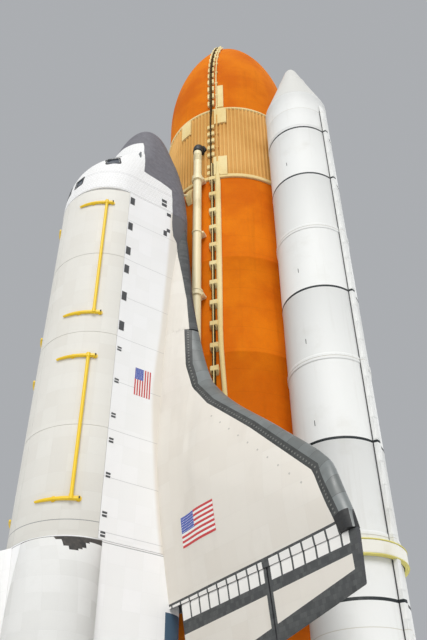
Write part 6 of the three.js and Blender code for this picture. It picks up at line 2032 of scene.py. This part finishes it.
# %% Rudder
for word, side in SIDES:
    loops = []
    for share in [0.003, 0.006, *linspace(0.02, 0.98, 22), 0.994, 0.997]:
        half, chord = rudder_half(share), 86 + (49 - 86) * share
        if share in (0.003, 0.997):
            half -= 0.25
        hub = rudder_half(share) * 0.42 + 0.4
        lip = angles(96, 127, 7)
        skin_run = linspace(0, 1, 9)[:, None]
        outer = array([chord, 1]) + (array([0, half]) - [chord, 1]) * skin_run
        outer_lip = half * stack([cos(lip), sin(lip)], -1)
        inner_lip = (half - 1) * stack([cos(lip), sin(lip)], -1)[::-1]
        inner = [[1, half - 1], [hub, (half - 1) * 0.6], [hub, 0.15], [chord * 0.5, 0.15]]
        loop = concatenate([[[chord, 0.15]], outer, outer_lip, inner_lip, inner])
        loops.append(across_hinge(loop * (1, side), share))
    panel = grid(array(loops), True)
    panel = joined(panel, *[lid(array(loop)) for loop in (loops[0], loops[-1])])
    piece(f"rudder_panel_{word}_skin", panel, [fin_paint], "white_tile", f"rudder_panel_{word}",
          body=f"rudder_panel_{word}")

rod = []
for share in linspace(0.003, 0.997, 40):
    turn = full_turn(24)
    knuckle = 1.0 if int(share * 39) % 5 else 0.9
    rod.append(across_hinge(stack([cos(turn), sin(turn)], -1) * rudder_half(share) * 0.42 * knuckle, share))
piece("rudder_shaft_rod", skin(array(rod)), grey_metal, "bare_metal", "rudder_shaft", body="rudder_shaft")

# %% [markdown]
# ## Markings
# The flags are stripes and a field with dots, drawn by the material from each sheet's own UV map. The hinge
# covers along the doors are dark squares with a pale edge. All of them are thin sheets cast onto the skins.

# %% Flags
FLAG_WIDE, FLAG_HIGH = 1.9, 1.0


def flag_look(name):
    look = Look(name, (236, 234, 230), 0.6)
    u, v, _ = look.split(look.place("UV"))
    stripe = look.under(look.math("FRACT", look.times(v, 6.5)), 0.5)
    color = look.mix(stripe, (236, 234, 230), (196, 58, 62))
    field = look.times(look.under(u, 0.42 * FLAG_WIDE), look.under(v, 7 / 13))
    dots = look.node("TexVoronoi", "Distance", {"Vector": look.place("UV"), "Scale": 12.0, "Randomness": 0.0})
    blue = look.mix(look.under(dots, 0.2), (62, 84, 168), (232, 232, 236))
    grain = look.noise(look.place(), 40, 3.0)
    return look.done(look.mix(field, color, blue), None, look.bump(grain, 0.0006, 0.4))


flag_paint = flag_look("flag_paint")


def flag(tree, corner, far, low, way):
    """A flag as a sheet on a surface, from its corner, its far end and its lower edge in the orbiter."""
    corner, far, low = (in_orbiter(*place) for place in (corner, far, low))
    u, v = np.meshgrid(linspace(0, 1, 17), linspace(0, 1, 9))
    hits, normals = cast(tree, corner + u[..., None] * (far - corner) + v[..., None] * (low - corner), way)
    front = grid(hits + normals * 0.003, tone=0, across=u * FLAG_WIDE, down=v * FLAG_HIGH)
    closed = slab(hits + normals * 0.003, hits - normals * 0.004)
    count = len(front.quads)
    hem = closed.uv[count:] * 0 + (FLAG_WIDE, 0.01)
    return joined(front, Shape(closed.points, closed.quads[count:], hem, closed.tone[count:]))


flags = [
    flag(mid_tree, (997, 130, 377), (1051, 130, 377), (997, 130, 347), (-1, 0, 0)),
    flag(wing_tree, (1269, 153, 380), (1269, 232, 380), (1313, 153, 380), (0, 1, 0)),
    flag(mid_tree, (997, -130, 377), (1051, -130, 377), (997, -130, 347), (1, 0, 0)),
]
piece("flags", flags, flag_paint, "white_blanket")

# %% Hinge covers and vents
marks, pale = [], []


def side_sheet(tree, xo, zo, long, high, side, lift):
    a, b = np.meshgrid(linspace(-1, 1, 5), linspace(-1, 1, 5))
    return decal(tree, in_orbiter(xo + a * long, side * 130, zo + b * high), (-side, 0, 0), lift)


covers = [(at, 10, 5.0) for at in (603, 675, 741, 788, 854, 922)]
covers += [(at, 4.4, 4.0) for at in (972, 1037, 1103, 1148, 1207, 1269, 1299)]
for _, side in SIDES:
    for at, long, high in covers:
        pale.append(side_sheet(mid_tree, at, 410.4, long + 1.2, high + 1.0, side, 0.0015))
        if long > 5:
            marks.append(side_sheet(mid_tree, at, 410.4, long, high, side, 0.003))
        else:
            marks += [side_sheet(mid_tree, at + step, 410.4, 1.7, high, side, 0.003) for step in (-2.5, 2.5)]
    marks.append(side_sheet(mid_tree, 649, 332, 7, 4, side, 0.003))
    marks += [side_sheet(hull_tree, 562 + step, 337, 4.4, 6, side, 0.003) for step in (-6, 6)]
    marks.append(side_sheet(mid_tree, 592, 325, 4.5, 5, side, 0.003))
    marks.append(side_sheet(mid_tree, 638, 325, 4.5, 4, side, 0.003))
cover_look = painted("cover_grey", (74, 75, 77), (56, 57, 58), 0.5)
piece("hinge_covers", marks, cover_look, "dark_tile")
piece("cover_edges", pale, white_tiles, "white_tile")

# %% [markdown]
# A few solids of the frame stay as they are, deep inside the shields, and get the dark metal of the rest.

# %% Materials for the solids that stay
for name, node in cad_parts.items():
    if not node.hide_render:
        node.data.materials.clear()
        node.data.materials.append(dark_metal)
        print("kept solid:", name)

# %% [markdown]
# ## Keep the size
# The box round everything is kept next to the box of the plain solids, and printed.

# %% Sizes and finish
low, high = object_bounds()
sizes = {"cad": [list(cad_low), list(cad_high)], "visual": [list(low), list(high)]}
print("visual box", [round(x, 3) for x in (*low, *high)])
